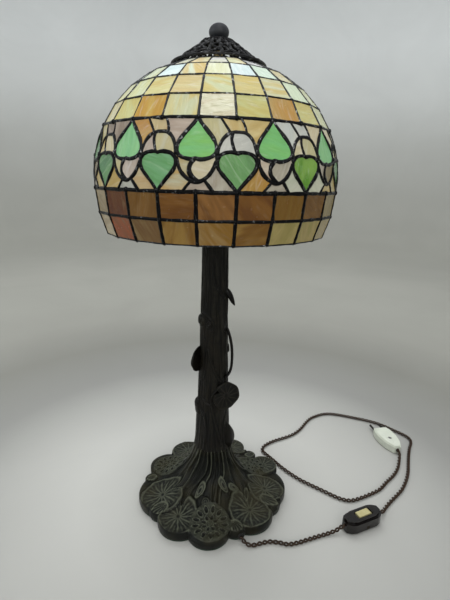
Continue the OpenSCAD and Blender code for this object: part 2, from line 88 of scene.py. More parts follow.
def vnoise(p, seed=0.0):
    p = np.asarray(p, float)
    i = np.floor(p)
    f = p - i
    f = f * f * (3 - 2 * f)
    out = 0
    for a in (0, 1):
        for b in (0, 1):
            for c in (0, 1):
                w = (f[..., 0] if a else 1 - f[..., 0]) * (f[..., 1] if b else 1 - f[..., 1]) * (f[..., 2] if c else 1 - f[..., 2])
                out = out + w * hash3(i[..., 0] + a, i[..., 1] + b, i[..., 2] + c, seed)
    return out * 2 - 1


def fbm(p, octaves=3, seed=0.0):
    p = np.asarray(p, float)
    out, amp, tot = 0, 1.0, 0.0
    for o in range(octaves):
        out = out + amp * vnoise(p * 2 ** o, seed + 7.1 * o)
        tot += amp
        amp *= 0.5
    return out / tot


def sstep(a, b, x):
    t = np.clip((x - a) / (b - a), 0, 1)
    return t * t * (3 - 2 * t)


rng = np.random.default_rng(7)


# ------------------------------------------------------------------ mesh building (millimetres in, metres out)
class Geo:
    def __init__(self):
        self.v, self.f, self.n, self.att, self.mi = [], [], 0, {}, []

    def add(self, verts, faces, mat=0, **att):
        verts = np.asarray(verts, float).reshape(-1, 3)
        off = self.n
        self.v.append(verts)
        self.f.extend([tuple(i + off for i in f) for f in faces])
        self.mi.extend([mat] * len(faces))
        for k, val in att.items():
            a = np.asarray(val, float)
            if a.ndim == 0:
                a = np.full(len(verts), float(a))
            elif a.ndim == 1 and len(a) in (3, 4) and len(a) != len(verts):
                a = np.tile(a, (len(verts), 1))
            self.att.setdefault(k, []).append((off, a))
        self.n += len(verts)

    def obj(self, name, body, mats, replaces=(), slot=None, smooth=True):
        V = np.concatenate(self.v) * MM
        me = bpy.data.meshes.new(name)
        me.from_pydata(V.tolist(), [], self.f)
        me.update()
        for k, parts in self.att.items():
            dim = 1 if parts[0][1].ndim == 1 else parts[0][1].shape[1]
            if dim == 1:
                full = np.zeros(self.n, np.float32)
                for off, a in parts:
                    full[off:off + len(a)] = a
                me.attributes.new(k, "FLOAT", "POINT").data.foreach_set("value", full)
            else:
                full = np.zeros((self.n, 3), np.float32)
                for off, a in parts:
                    full[off:off + len(a)] = a[:, :3]
                me.attributes.new(k, "FLOAT_VECTOR", "POINT").data.foreach_set("vector", full.ravel())
        mats = mats if isinstance(mats, (list, tuple)) else [mats]
        for m in mats:
            me.materials.append(m)
        if len(mats) > 1:
            me.polygons.foreach_set("material_index", np.array(self.mi, np.int32))
        if smooth:
            me.polygons.foreach_set("use_smooth", np.ones(len(me.polygons), bool))
        o = bpy.data.objects.new(name, me)
        scene.collection.objects.link(o)
        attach(o, body)
        if replaces:
            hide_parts(*replaces)
        return o


def unit(a):
    a = np.asarray(a, float)
    return a / np.maximum(np.linalg.norm(a, axis=-1, keepdims=True), 1e-12)


def tangents(P, closed=False):
    if closed:
        return unit(np.roll(P, -1, 0) - np.roll(P, 1, 0))
    T = np.empty_like(P)
    T[1:-1] = P[2:] - P[:-2]
    T[0], T[-1] = P[1] - P[0], P[-1] - P[-2]
    return unit(T)


def tube(P, N, a, b, sides=8, closed=False, cap=0.8):
    """Swept tube: half width a across, half height b along the normals N."""
    P = np.asarray(P, float)
    n = len(P)
    a = np.broadcast_to(np.asarray(a, float), (n,)).copy()
    b = np.broadcast_to(np.asarray(b, float), (n,)).copy()
    N = np.broadcast_to(np.asarray(N, float), (n, 3)).copy()
    T = tangents(P, closed)
    if not closed and cap:
        P = np.concatenate([[P[0] - T[0] * a[0] * cap], P, [P[-1] + T[-1] * a[-1] * cap]])
        a = np.concatenate([[a[0] * 0.5], a, [a[-1] * 0.5]])
        b = np.concatenate([[b[0] * 0.5], b, [b[-1] * 0.5]])
        N = np.concatenate([N[:1], N, N[-1:]])
        T = np.concatenate([T[:1], T, T[-1:]])
        n += 2
    B = unit(np.cross(T, N))
    N2 = np.cross(B, T)
    ang = np.arange(sides) * 2 * math.pi / sides
    V = P[:, None] + B[:, None] * (a[:, None] * np.cos(ang))[..., None] + N2[:, None] * (b[:, None] * np.sin(ang))[..., None]
    faces = []
    m = n if closed else n - 1
    for i in range(m):
        j = (i + 1) % n
        for k in range(sides):
            k2 = (k + 1) % sides
            faces.append((i * sides + k, j * sides + k, j * sides + k2, i * sides + k2))
    if not closed:
        faces.append(tuple(range(sides)))
        faces.append(tuple((n - 1) * sides + k for k in range(sides - 1, -1, -1)))
    return V.reshape(-1, 3), faces


def smooth_path(pts, step, closed=False):
    """Catmull-Rom through the points, resampled at about step."""
    P = np.asarray(pts, float)
    n = len(P)
    if closed:
        Q = np.concatenate([P[-1:], P, P[:2]])
        segs = n
    else:
        Q = np.concatenate([[2 * P[0] - P[1]], P, [2 * P[-1] - P[-2]]])
        segs = n - 1
    out = []
    t = np.linspace(0, 1, 24, endpoint=False)[:, None]
    for i in range(segs):
        p0, p1, p2, p3 = Q[i], Q[i + 1], Q[i + 2], Q[i + 3]
        out.append(0.5 * ((2 * p1) + (-p0 + p2) * t + (2 * p0 - 5 * p1 + 4 * p2 - p3) * t ** 2 + (-p0 + 3 * p1 - 3 * p2 + p3) * t ** 3))
    C = np.concatenate(out + ([out[0][:1]] if closed else [P[-1:]]))
    d = np.concatenate([[0], np.cumsum(np.linalg.norm(np.diff(C, axis=0), axis=1))])
    m = max(2, int(round(d[-1] / step)) + 1)
    s = np.linspace(0, d[-1], m)
    R = np.stack([np.interp(s, d, C[:, k]) for k in range(C.shape[1])], 1)
    return R[:-1] if closed else R


def lathe(profile, seg=64, z_mod=None):
    """Closed solid of revolution from (r, z) points running up the outside; ends on the axis or joins up."""
    V, F = [], []
    closed = profile[0][0] > 1e-6 and profile[-1][0] > 1e-6
    rings = []
    for r, z in profile:
        if r <= 1e-6:
            rings.append([len(V)])
            V.append((0, 0, z))
        else:
            rings.append(list(range(len(V), len(V) + seg)))
            for k in range(seg):
                a = 2 * math.pi * k / seg
                V.append((r * math.cos(a), r * math.sin(a), z))
    pairs = list(zip(rings[:-1], rings[1:])) + ([(rings[-1], rings[0])] if closed else [])
    for A, B in pairs:
        for k in range(seg):
            k2 = (k + 1) % seg
            if len(A) == 1 and len(B) == 1:
                continue
            if len(A) == 1:
                F.append((A[0], B[k2], B[k]))
            elif len(B) == 1:
                F.append((A[k], A[k2], B[0]))
            else:
                F.append((A[k], A[k2], B[k2], B[k]))
    return np.array(V, float), F


# ------------------------------------------------------------------ materials
def material(name, base=(0.5, 0.5, 0.5), rough=0.5, metal=0.0, **kw):
    m = bpy.data.materials.new(name)
    m.use_nodes = True
    nt = m.node_tree
    b = nt.nodes["Principled BSDF"] if "Principled BSDF" in nt.nodes else nt.nodes.new("ShaderNodeBsdfPrincipled")
    b.inputs["Base Color"].default_value = (*base, 1)
    b.inputs["Roughness"].default_value = rough
    b.inputs["Metallic"].default_value = metal
    for k, v in kw.items():
        b.inputs[k.replace("_", " ")].default_value = v
    return m, nt, b


def node(nt, kind, **kw):
    n = nt.nodes.new(kind)
    for k, v in kw.items():
        if hasattr(n, k):
            setattr(n, k, v)
        else:
            n.inputs[k].default_value = v
    return n


def attr(nt, name):
    return node(nt, "ShaderNodeAttribute", attribute_type="GEOMETRY", attribute_name=name)


def mix(nt, fac, a, b, blend="MIX"):
    n = nt.nodes.new("ShaderNodeMix")
    n.data_type = "RGBA"
    n.blend_type = blend
    for sock, val in ((n.inputs[0], fac), (n.inputs[6], a), (n.inputs[7], b)):
        if hasattr(val, "is_output"):
            nt.links.new(val, sock)
        elif isinstance(val, (int, float)):
            sock.default_value = val
        else:
            sock.default_value = (*val[:3], 1)
    return n.outputs[2]


def ramp(nt, fac, stops, interp="LINEAR"):
    n = nt.nodes.new("ShaderNodeValToRGB")
    cr = n.color_ramp
    cr.interpolation = interp
    while len(cr.elements) < len(stops):
        cr.elements.new(0.5)
    for e, (pos, col) in zip(cr.elements, stops):
        e.position = pos
        e.color = (*col[:3], 1) if isinstance(col, (tuple, list)) else (col, col, col, 1)
    nt.links.new(fac, n.inputs[0])
    return n.outputs[0]


def math_node(nt, op, a, b=0.5, clamp=False):
    n = nt.nodes.new("ShaderNodeMath")
    n.operation = op
    n.use_clamp = clamp
    for sock, val in ((n.inputs[0], a), (n.inputs[1], b)):
        if hasattr(val, "is_output"):
            nt.links.new(val, sock)
        else:
            sock.default_value = val
    return n.outputs[0]


def noise(nt, vec=None, scale=5.0, detail=3.0, rough=0.5, dist=0.0):
    n = nt.nodes.new("ShaderNodeTexNoise")
    n.inputs["Scale"].default_value = scale
    n.inputs["Detail"].default_value = detail
    n.inputs["Roughness"].default_value = rough
    n.inputs["Distortion"].default_value = dist
    if vec is not None:
        nt.links.new(vec, n.inputs["Vector"])
    return n.outputs["Fac"]


def mapping(nt, vec, scale=(1, 1, 1), loc=(0, 0, 0), rotation=(0, 0, 0)):
    n = nt.nodes.new("ShaderNodeMapping")
    n.inputs["Scale"].default_value = scale
    n.inputs["Location"].default_value = loc
    n.inputs["Rotation"].default_value = rotation
    nt.links.new(vec, n.inputs["Vector"])
    return n.outputs[0]


def bump(nt, b, height, strength=0.3, distance=0.001):
    n = nt.nodes.new("ShaderNodeBump")
    n.inputs["Strength"].default_value = strength
    n.inputs["Distance"].default_value = distance
    nt.links.new(height, n.inputs["Height"])
    nt.links.new(n.outputs[0], b.inputs["Normal"])
    return n


def obj_co(nt):
    return nt.nodes.new("ShaderNodeTexCoord").outputs["Object"]


def glass_material(name, wisp=(0.9, 0.9, 0.86), wisp_amount=0.30, rough=0.2, contrast=1.0):
    """Rolled opalescent glass: two colours per piece in broad clouds along the piece's own flow, with milky wisps."""
    m, nt, b = material(name, rough=rough)
    flow = attr(nt, "flow").outputs["Vector"]
    ca, cb = attr(nt, "ca").outputs["Color"], attr(nt, "cb").outputs["Color"]
    s1 = noise(nt, mapping(nt, flow, (0.16, 0.55, 1)), 1.0, 2.0, 0.45, 0.9)
    f1 = ramp(nt, s1, [(0.5 - 0.15 / contrast, 0.0), (0.5 + 0.15 / contrast, 1.0)], "EASE")
    c1 = mix(nt, f1, ca, cb)
    s2 = noise(nt, mapping(nt, flow, (0.30, 1.5, 1), (7, 3, 1)), 1.0, 3.0, 0.55, 0.9)
    f2 = ramp(nt, s2, [(0.52, 0.0), (0.80, wisp_amount)], "EASE")
    c2 = mix(nt, f2, c1, wisp)
    s3 = noise(nt, mapping(nt, flow, (0.5, 3.2, 1), (2, 9, 4)), 1.0, 3.0, 0.55, 0.5)
    f3 = ramp(nt, s3, [(0.30, 0.78), (0.62, 1.0)])
    c3 = mix(nt, 0.42, c2, f3, "MULTIPLY")
    nt.links.new(c3, b.inputs["Base Color"])
    r = ramp(nt, noise(nt, flow, 1.3, 2.0), [(0.3, rough * 0.65), (0.8, rough * 1.5)])
    nt.links.new(r, b.inputs["Roughness"])
    b.inputs["IOR"].default_value = 1.5
    h = noise(nt, mapping(nt, flow, (0.5, 1.2, 1)), 1.2, 3.0, 0.5, 0.6)
    bump(nt, b, h, 0.40, 0.0014)
    return m


def patina(name, dark, light, rough=0.5, metal=0.55, att="ridge", scale=180.0, warm=None):
    """Dark patinated cast metal: light where the relief stands proud, dull and dark in its hollows."""
    m, nt, b = material(name, rough=rough, metal=metal)
    b.inputs["Specular IOR Level"].default_value = 0.25
    co = obj_co(nt)
    ridge = attr(nt, att).outputs["Fac"]
    n1 = noise(nt, co, scale, 4.0, 0.6)
    n2 = noise(nt, co, scale * 0.12, 3.0, 0.55)
    mixed = math_node(nt, "ADD", ridge, math_node(nt, "MULTIPLY", math_node(nt, "SUBTRACT", n1, 0.5), 0.55))
    f = ramp(nt, mixed, [(0.28, 0.0), (0.85, 1.0)])
    c = mix(nt, f, dark, light)
    if warm:
        c = mix(nt, ramp(nt, n2, [(0.45, 0.0), (0.7, 0.6)]), c, warm)
    nt.links.new(c, b.inputs["Base Color"])
    nt.links.new(ramp(nt, n1, [(0.3, rough * 0.8), (0.75, min(1, rough * 1.35))]), b.inputs["Roughness"])
    bump(nt, b, noise(nt, co, scale * 2.2, 4.0, 0.65), 0.25, 0.0006)
    return m


def metal(name, col, rough, scale=300.0, metallic=1.0, amount=0.15, bump_s=0.08):
    m, nt, b = material(name, col, rough, metallic)
    co = obj_co(nt)
    n1 = noise(nt, co, scale, 3.0, 0.6)
    dark = tuple(v * (1 - amount * 2) for v in col)
    nt.links.new(mix(nt, ramp(nt, n1, [(0.35, 0.0), (0.7, 1.0)]), dark, col), b.inputs["Base Color"])
    nt.links.new(ramp(nt, noise(nt, co, scale * 0.3, 3.0), [(0.3, rough * 0.75), (0.75, rough * 1.4)]), b.inputs["Roughness"])
    bump(nt, b, noise(nt, co, scale * 3, 2.0), bump_s, 0.0003)
    return m


def plastic(name, col, rough, col2=None, scale=160.0, bump_s=0.05, coat=0.0):
    m, nt, b = material(name, col, rough)
    co = obj_co(nt)
    n1 = noise(nt, co, scale, 4.0, 0.6)
    col2 = col2 or tuple(v * 0.82 for v in col)
    nt.links.new(mix(nt, ramp(nt, n1, [(0.4, 0.0), (0.75, 1.0)]), col, col2), b.inputs["Base Color"])
    nt.links.new(ramp(nt, noise(nt, co, scale * 0.4, 3.0), [(0.3, rough * 0.7), (0.75, rough * 1.5)]), b.inputs["Roughness"])
    if coat:
        b.inputs["Coat Weight"].default_value = coat
    bump(nt, b, noise(nt, co, scale * 6, 2.0), bump_s, 0.0002)
    return m


M_GLASS = glass_material("opal_glass")
M_GLASSD = glass_material("brown_glass", wisp=(0.30, 0.20, 0.10), wisp_amount=0.35)
M_GREEN = glass_material("green_glass", wisp=(0.52, 0.72, 0.46), wisp_amount=0.35, contrast=0.75)
M_PATINA = patina("base_patina", (0.007, 0.0078, 0.006), (0.14, 0.150, 0.105), 0.40, 0.25, warm=(0.040, 0.034, 0.014))
M_BARK = patina("bark_patina", (0.002, 0.0017, 0.0012), (0.034, 0.030, 0.019), 0.42, 0.1, warm=(0.010, 0.007, 0.003))
M_CAP = patina("cap_metal", (0.010, 0.010, 0.011), (0.14, 0.142, 0.145), 0.5, 0.3, scale=260.0)
# near-black brass: on the shade's lock nut and washer inside the cap it is painted shade, the dark of the cap's
# interior; the switch screw uses it too
M_BLACKENED_BRASS_AND_SHADE = metal("blackened_brass_and_painted_shade", (0.05, 0.038, 0.022), 0.5, 240.0, 0.7)
M_FINIAL = metal("finial_metal", (0.034, 0.037, 0.044), 0.48, 220.0, 0.1, 0.1, 0.06)
M_BRASS = metal("brass_metal", (0.58, 0.43, 0.19), 0.33, 240.0)
M_STEEL = metal("steel_metal", (0.55, 0.55, 0.53), 0.35, 300.0)
M_ALU = metal("bulb_metal", (0.62, 0.61, 0.58), 0.3, 300.0)
M_PHENOL = plastic("phenolic", (0.022, 0.016, 0.012), 0.4)
M_PORCELAIN = plastic("porcelain", (0.78, 0.77, 0.72), 0.2)
M_BLACKP = plastic("black_plastic", (0.018, 0.017, 0.016), 0.5)
M_BLACKG = plastic("black_gloss", (0.007, 0.005, 0.0045), 0.10, bump_s=0.02, coat=0.0)
M_CREAM = plastic("cream_plastic", (0.55, 0.50, 0.26), 0.32, (0.42, 0.36, 0.16), 90.0)
M_WHITE = plastic("white_plastic", (0.64, 0.67, 0.575), 0.34, (0.56, 0.59, 0.50), 60.0)
M_PIN = metal("pin_metal", (0.03, 0.028, 0.025), 0.4, 300.0, 0.6)

# solder: dark patina with worn silvery spots and painted highlight: a grey sheen and silver glints painted on,
# strongest on the upper solder that faces the light from above
M_SOLDER, nt, b = material("solder_patina", rough=0.42, metal=0.85)
b.inputs["Specular IOR Level"].default_value = 0.3
co = obj_co(nt)
wear_and_glint_spot = ramp(nt, noise(nt, co, 260.0, 3.0, 0.6, 0.4), [(0.585, 0.0), (0.67, 1.0)])
# per-bead strength of painted sheen and silver glints, partly real worn silver
tone = attr(nt, "shine").outputs["Fac"]
silver_wear_and_glint = math_node(nt, "MULTIPLY", wear_and_glint_spot, tone, True)
c = mix(nt, noise(nt, co, 120.0, 3.0), (0.003, 0.003, 0.0035), (0.012, 0.012, 0.013))
# grey painted sheen, stronger on the upward-facing upper solder
c = mix(nt, math_node(nt, "MULTIPLY", math_node(nt, "POWER", tone, 2.0), 0.40), c, (0.16, 0.165, 0.17))
nt.links.new(mix(nt, silver_wear_and_glint, c, (0.55, 0.56, 0.57)), b.inputs["Base Color"])
nt.links.new(ramp(nt, noise(nt, co, 420.0, 3.0), [(0.3, 0.28), (0.75, 0.55)]), b.inputs["Roughness"])
bump(nt, b, noise(nt, co, 500.0, 3.0), 0.35, 0.0005)

# frosted bulb glass and felt
M_BULB, nt, b = material("bulb_frosted", (0.83, 0.84, 0.82), 0.28)
nt.links.new(mix(nt, noise(nt, obj_co(nt), 60.0, 3.0), (0.80, 0.81, 0.79), (0.88, 0.88, 0.86)), b.inputs["Base Color"])
M_FELT, nt, b = material("felt", (0.02, 0.045, 0.028), 0.95)
fz = noise(nt, obj_co(nt), 900.0, 5.0, 0.7)
nt.links.new(mix(nt, fz, (0.010, 0.028, 0.016), (0.035, 0.07, 0.045)), b.inputs["Base Color"])
bump(nt, b, fz, 0.7, 0.001)

# twisted fabric cord: strand length in attribute "along", angle round the strand in "turn"
M_CORD, nt, b = material("cord_fabric", rough=0.85)
al, tu = attr(nt, "along").outputs["Fac"], attr(nt, "turn").outputs["Fac"]
w1 = math_node(nt, "SINE", math_node(nt, "ADD", math_node(nt, "MULTIPLY", al, 5.2), math_node(nt, "MULTIPLY", tu, 5.0)))
w2 = math_node(nt, "SINE", math_node(nt, "SUBTRACT", math_node(nt, "MULTIPLY", al, 5.2), math_node(nt, "MULTIPLY", tu, 5.0)))
weave = math_node(nt, "ADD", math_node(nt, "MULTIPLY", math_node(nt, "MULTIPLY", w1, w2), 0.5), 0.5)
fib = noise(nt, obj_co(nt), 1600.0, 3.0, 0.7)
cw = mix(nt, weave, (0.006, 0.003, 0.002), (0.05, 0.026, 0.014))
cw = mix(nt, math_node(nt, "MULTIPLY", fib, 0.35), cw, (0.10, 0.06, 0.035))
nt.links.new(cw, b.inputs["Base Color"])
bump(nt, b, math_node(nt, "ADD", weave, math_node(nt, "MULTIPLY", fib, 0.4)), 0.8, 0.0004)

# ------------------------------------------------------------------ shade
T, A, B, C = (53.9, 600.5), (83.4, 588.0), (104.2, 573.1), (122.9, 552.9)
Dl, K, E, F, G = (137.1, 529.9), (148.4, 495.0), (150.1, 462.4), (146.9, 434.8), (138.7, 409.7)
HALF = 7.5 * D2R


def cyl(r, phi_deg, z):
    p = np.asarray(phi_deg, float) * D2R
    return np.stack([r * np.sin(p), -r * np.cos(p), np.broadcast_to(z, np.shape(p)) + 0 * p], -1)


def frame_of(lo, hi):
    """Outward normal of a row in the (r, z) plane."""
    d = np.array([hi[0] - lo[0], hi[1] - lo[1]])
    n = np.array([d[1], -d[0]])
    n = n / np.linalg.norm(n)
    return n if n[0] > 0 else -n


def rz_dir(n, phi_deg):
    p = np.asarray(phi_deg, float) * D2R
    return np.stack([n[0] * np.sin(p), -n[0] * np.cos(p), n[1] + 0 * p], -1)


# glass colours by name: two tones each
PAL = {
    "pale": ((226, 220, 176), (230, 230, 204)),
    "cream": ((236, 226, 186), (246, 240, 214)),
    "white": ((238, 240, 228), (250, 250, 244)),
    "bluewhite": ((226, 236, 238), (240, 246, 246)),
    "greenwhite": ((222, 234, 216), (236, 242, 228)),
    "peach": ((222, 196, 150), (228, 214, 174)),
    "pink": ((224, 202, 184), (240, 228, 214)),
    "amberlight": ((226, 196, 126), (240, 222, 166)),
    "amber": ((206, 154, 70), (212, 172, 96)),
    "amberdeep": ((208, 150, 76), (204, 166, 110)),
    "yellow": ((220, 200, 130), (222, 214, 160)),
    "streak": ((226, 202, 142), (222, 220, 192)),
    "streakwhite": ((228, 228, 206), (226, 190, 124)),
    "ochre": ((226, 200, 138), (226, 212, 164)),
    "sparkle": ((214, 204, 182), (192, 168, 134)),
    "grey": ((196, 188, 176), (220, 216, 206)),
    "mauve": ((196, 180, 170), (220, 208, 198)),
    "coolgrey": ((206, 212, 214), (226, 230, 230)),
    "brown": ((112, 72, 26), (134, 92, 42)),
    "browntan": ((116, 76, 34), (150, 108, 62)),
    "redbrown": ((98, 54, 34), (112, 70, 46)),
    "orangered": ((140, 70, 38), (116, 74, 50)),
    "olive": ((116, 82, 38), (132, 98, 54)),
    "gold": ((128, 92, 32), (134, 104, 50)),
    "olivecream": ((146, 136, 94), (160, 146, 108)),
    "greybrown": ((112, 86, 60), (136, 116, 94)),
    "amberpink": ((134, 98, 46), (160, 134, 104)),
    "tan": ((150, 138, 108), (166, 152, 124)),
    "pinkgrey": ((158, 142, 130), (182, 168, 158)),
    "ambercloud": ((120, 84, 36), (146, 116, 68)),
    "mint": ((126, 196, 132), (140, 204, 132)),
    "apple": ((132, 204, 132), (134, 200, 104)),
    "green": ((74, 138, 58), (92, 158, 74)),
    "bluegreen": ((104, 166, 100), (142, 196, 150)),
    "lime": ((96, 150, 44), (140, 184, 80)),
    "seagreen": ((100, 146, 104), (116, 164, 110)),
}


def flow_coords(P2, seed, size=8.0):
    r = np.random.default_rng(int(seed) + 1000)
    a = r.uniform(-0.5, 0.5) + (r.integers(0, 2) * math.pi / 2 if r.uniform() < 0.75 else r.uniform(0, math.pi))
    off = r.uniform(-50, 50, 3)
    x, y = P2[:, 0] / size, P2[:, 1] / size
    return np.stack([x * math.cos(a) - y * math.sin(a) + off[0], x * math.sin(a) + y * math.cos(a) + off[1], np.full(len(x), off[2])], 1)


def jitter_col(c, seed, amt=0.04):
    r = np.random.default_rng(int(seed) + 5000)
    k = 1 + r.uniform(-amt, amt)
    return np.clip(np.array(lin(c)) * k * (1 + r.uniform(-amt * 0.4, amt * 0.4, 3)), 0, 1)


def glass_plate(geo, outer, p2, kind, seed, depth=3.0, n=None, tone=(1, 1, 1)):
    """One flat piece of glass. outer: boundary points on the shade surface, anticlockwise seen from outside."""
    outer = np.asarray(outer, float)
    c = outer.mean(0)
    if n is None:
        _, _, vt = np.linalg.svd(outer - c)
        n = vt[2]
    n = n / np.linalg.norm(n)
    if n @ (c - np.array([0, 0, c[2] - 60])) < 0:
        n = -n
    flat = outer - np.outer((outer - c) @ n, n)
    m = len(flat)
    tris = tessellate_polygon([[Vector((p[0], p[1], 0)) for p in p2]])
    V = np.concatenate([flat, flat - n * depth])
    F = []
    for t in tris:
        a, b_, c_ = t
        q = np.cross(flat[b_] - flat[a], flat[c_] - flat[a])
        if q @ n < 0:
            b_, c_ = c_, b_
        F.append((a, b_, c_))
        F.append((a + m, c_ + m, b_ + m))
    area = sum(p2[i][0] * p2[(i + 1) % m][1] - p2[(i + 1) % m][0] * p2[i][1] for i in range(m))
    for i in range(m):
        j = (i + 1) % m
        F.append((i, i + m, j + m, j) if area > 0 else (j, j + m, i + m, i))
    fl = flow_coords(np.asarray(p2, float), seed)
    ca, cb = PAL[kind]
    geo.add(V, F, flow=np.concatenate([fl, fl]), ca=np.clip(jitter_col(ca, seed) * tone, 0, 0.95), cb=np.clip(jitter_col(cb, seed + 1) * tone, 0, 0.95))


ROWS = {
    1: (A, T, {-75: "cream", -60: "pale", -45: "white", -30: "cream", -15: "peach", 0: "cream", 15: "peach", 30: "greenwhite", 45: "pale", 60: "cream"}, ["cream", "pale", "peach", "white", "streak"]),
    2: (B, A, {-60: "white", -45: "pale", -30: "bluewhite", -15: "streakwhite", 0: "cream", 15: "bluewhite", 30: "greenwhite", 45: "peach", 60: "pale"}, ["bluewhite", "cream", "greenwhite", "pale", "streakwhite"]),
    3: (C, B, {-60: "cream", -45: "pale", -30: "ochre", -15: "peach", 0: "streak", 15: "ochre", 30: "streak", 45: "greenwhite", 60: "pale"}, ["amberlight", "streak", "pale", "peach", "yellow"]),
    4: (Dl, C, {-75: "peach", -60: "peach", -45: "yellow", -30: "amber", -15: "streak", 0: "sparkle", 15: "yellow", 30: "amberdeep", 45: "yellow", 60: "pale", 75: "pale"}, ["amber", "yellow", "streak", "pale", "sparkle", "amberdeep"]),
    5: (F, E, {-75: "pinkgrey", -60: "pinkgrey", -45: "redbrown", -30: "olive", -15: "brown", 0: "browntan", 15: "brown", 30: "gold", 45: "olive", 60: "tan", 75: "tan"}, ["brown", "olive", "gold", "browntan", "ambercloud"]),
    6: (G, F, {-75: "pinkgrey", -60: "pinkgrey", -45: "orangered", -30: "greybrown", -15: "ambercloud", 0: "amberpink", 15: "ambercloud", 30: "olivecream", 45: "olivecream", 60: "tan", 75: "tan"}, ["ambercloud", "amberpink", "olivecream", "brown", "greybrown"]),
}
ROW_TONE_AND_PAINTED_LIGHT = {1: (1.3, 1.4, 1.42), 2: (0.94, 1.03, 1.0), 3: (0.93, 0.98, 0.82), 4: (0.92, 0.98, 0.84), 5: (0.95, 0.87, 0.56), 6: (1.25, 1.2, 0.85)}  # colour factors per row: partly the colour of each row's glass, partly painted light, with the top row that faces the overhead light lightened
SLOT = {1: "glass_pale", 2: "glass_pale", 3: "glass_amber_light", 4: "glass_amber_light", 5: "glass_amber_dark", 6: "glass_amber_dark"}
for row, (lo, hi, front, cycle) in ROWS.items():
    g = Geo()
    for k in range(24):
        c0 = 15 * k
        key = c0 if c0 <= 180 else c0 - 360
        kind = front.get(key) or cycle[(k * 3 + row) % len(cycle)]
        w0, w1 = lo[0] * math.sin(HALF) - 0.7, hi[0] * math.sin(HALF) - 0.7
        r0, r1 = lo[0] * math.cos(HALF), hi[0] * math.cos(HALF)
        L = math.hypot(r0 - r1, hi[1] - lo[1])
        p2 = [(-w0, 0.6), (w0, 0.6), (w1, L - 0.6), (-w1, L - 0.6)]
        if row == 6:
            p2 = [(-w0, 0.0), (w0, 0.0), (w1, L - 0.6), (-w1, L - 0.6)]
        er = unit(np.array([math.sin(c0 * D2R), -math.cos(c0 * D2R), 0]))
        et = np.array([math.cos(c0 * D2R), math.sin(c0 * D2R), 0])
        upv = unit(er * (r1 - r0) + np.array([0, 0, hi[1] - lo[1]]))
        base = er * r0 + np.array([0, 0, lo[1]])
        n = np.cross(et, upv)
        r_ = np.random.default_rng(row * 100 + k)
        n = unit(n + et * r_.normal(0, 0.012) + upv * r_.normal(0, 0.012))
        pts = [base + et * x + upv * y for x, y in p2]
        # the row factor carries painted light: the top row, facing the light from above, is lightened
        glass_plate(g, pts, p2, kind, row * 100 + k, n=n, tone=ROW_TONE_AND_PAINTED_LIGHT[row])
    g.obj("glass_row_%d_panels" % row, "shade", M_GLASS if row < 5 else M_GLASSD, ["glass_row_%d" % row], SLOT[row], smooth=False)

# heart band: azimuth offset from the heart's own axis and height
uh = [(0, 529.6), (1.5, 524.4), (3.5, 518.9), (5.5, 513.0), (6.9, 507.2), (7.35, 502), (6.9, 497.2), (5.4, 493.9), (3.0, 492.2), (1.2, 491.9), (0, 492.7)]
lh = [(0, 462.6), (1.4, 467.2), (3.3, 472.8), (5.2, 478.2), (6.8, 483.6), (7.35, 488.6), (6.95, 493.6), (5.3, 497.3), (2.8, 498.8), (1.1, 498.7), (0, 497.9)]
arch = [(-7.3, 496.6), (-6.9, 501.5), (-6.1, 506.8), (-4.9, 511.6), (-3.1, 515.2), (-1.0, 516.7), (1.2, 516.9), (3.2, 516.4), (5.0, 513.2), (6.3, 508), (7.0, 502), (7.4, 496.8)]
arch_stem = [(-1.5, 516.7), (-2.1, 511), (-1.7, 504.5), (-0.9, 498.8)]
short_l = [(-6.1, 529.6), (-4.7, 524.6), (-3.2, 519), (-2.6, 515.8)]
short_r = [(1.9, 529.6), (2.9, 524.5), (3.5, 519.5), (3.6, 516.0)]
ub = [(-7.3, 493.6), (-6.6, 486.6), (-5.3, 480.2), (-3.2, 474.9), (-0.9, 472.0), (1.5, 472.1), (4.2, 476.4), (6.2, 483.2), (7.3, 490.2)]
ub_stem = [(-1.0, 491.8), (-2.3, 486), (-2.3, 480), (-0.9, 475.2), (0.6, 472.2)]
below_l = [(-1.8, 472.6), (-3.5, 467.6), (-5.1, 462.6)]
below_r = [(3.0, 473.6), (4.7, 468), (6.3, 462.6)]


def dense(line, closed=False, n=5):
    return smooth_path(np.array(line, float) * [2.5, 1.0], 2.0, closed) / [2.5, 1.0]


PROF_Z = np.array([462.4, 478.0, 495.0, 513.0, 529.9])
PROF_R = np.array([149.5, 149.7, 147.8, 143.2, 136.5])


def band_r(z):
    return np.interp(z, PROF_Z, PROF_R)


def band_pt(a, z):
    return cyl(band_r(z), a, z)


def band_n(a, z):
    z = np.asarray(z, float)
    dr = (band_r(z + 2) - band_r(z - 2)) / 4
    p = np.asarray(a, float) * D2R
    return unit(np.stack([np.sin(p), -np.cos(p), -dr + 0 * p], -1))


def mirror_x(l):
    return [(-a, z) for a, z in l][::-1]


def cut(line, a, b):
    """The stretch of a dense line between its points nearest to a and to b."""
    L = dense(line)
    ia = int(np.argmin(((L - a) * [2.5, 1]) ** 2 @ [1, 1]))
    ib = int(np.argmin(((L - b) * [2.5, 1]) ** 2 @ [1, 1]))
    return [tuple(p) for p in (L[ia:ib + 1] if ia <= ib else L[ib:ia + 1][::-1])]


uh_right = dense(uh)
uh_full = [tuple(p) for p in uh_right] + [(-p[0], p[1]) for p in uh_right[::-1][1:-1]]
lh_right = dense(lh)
lh_full = [tuple(p) for p in lh_right] + [(-p[0], p[1]) for p in lh_right[::-1][1:-1]]
RUH = [tuple(p) for p in uh_right]      # right flank from the point down to the cleft
RLH = [tuple(p) for p in lh_right]      # right flank from the point up to the cleft


def shift(l, d):
    return [(a + d, z) for a, z in l]


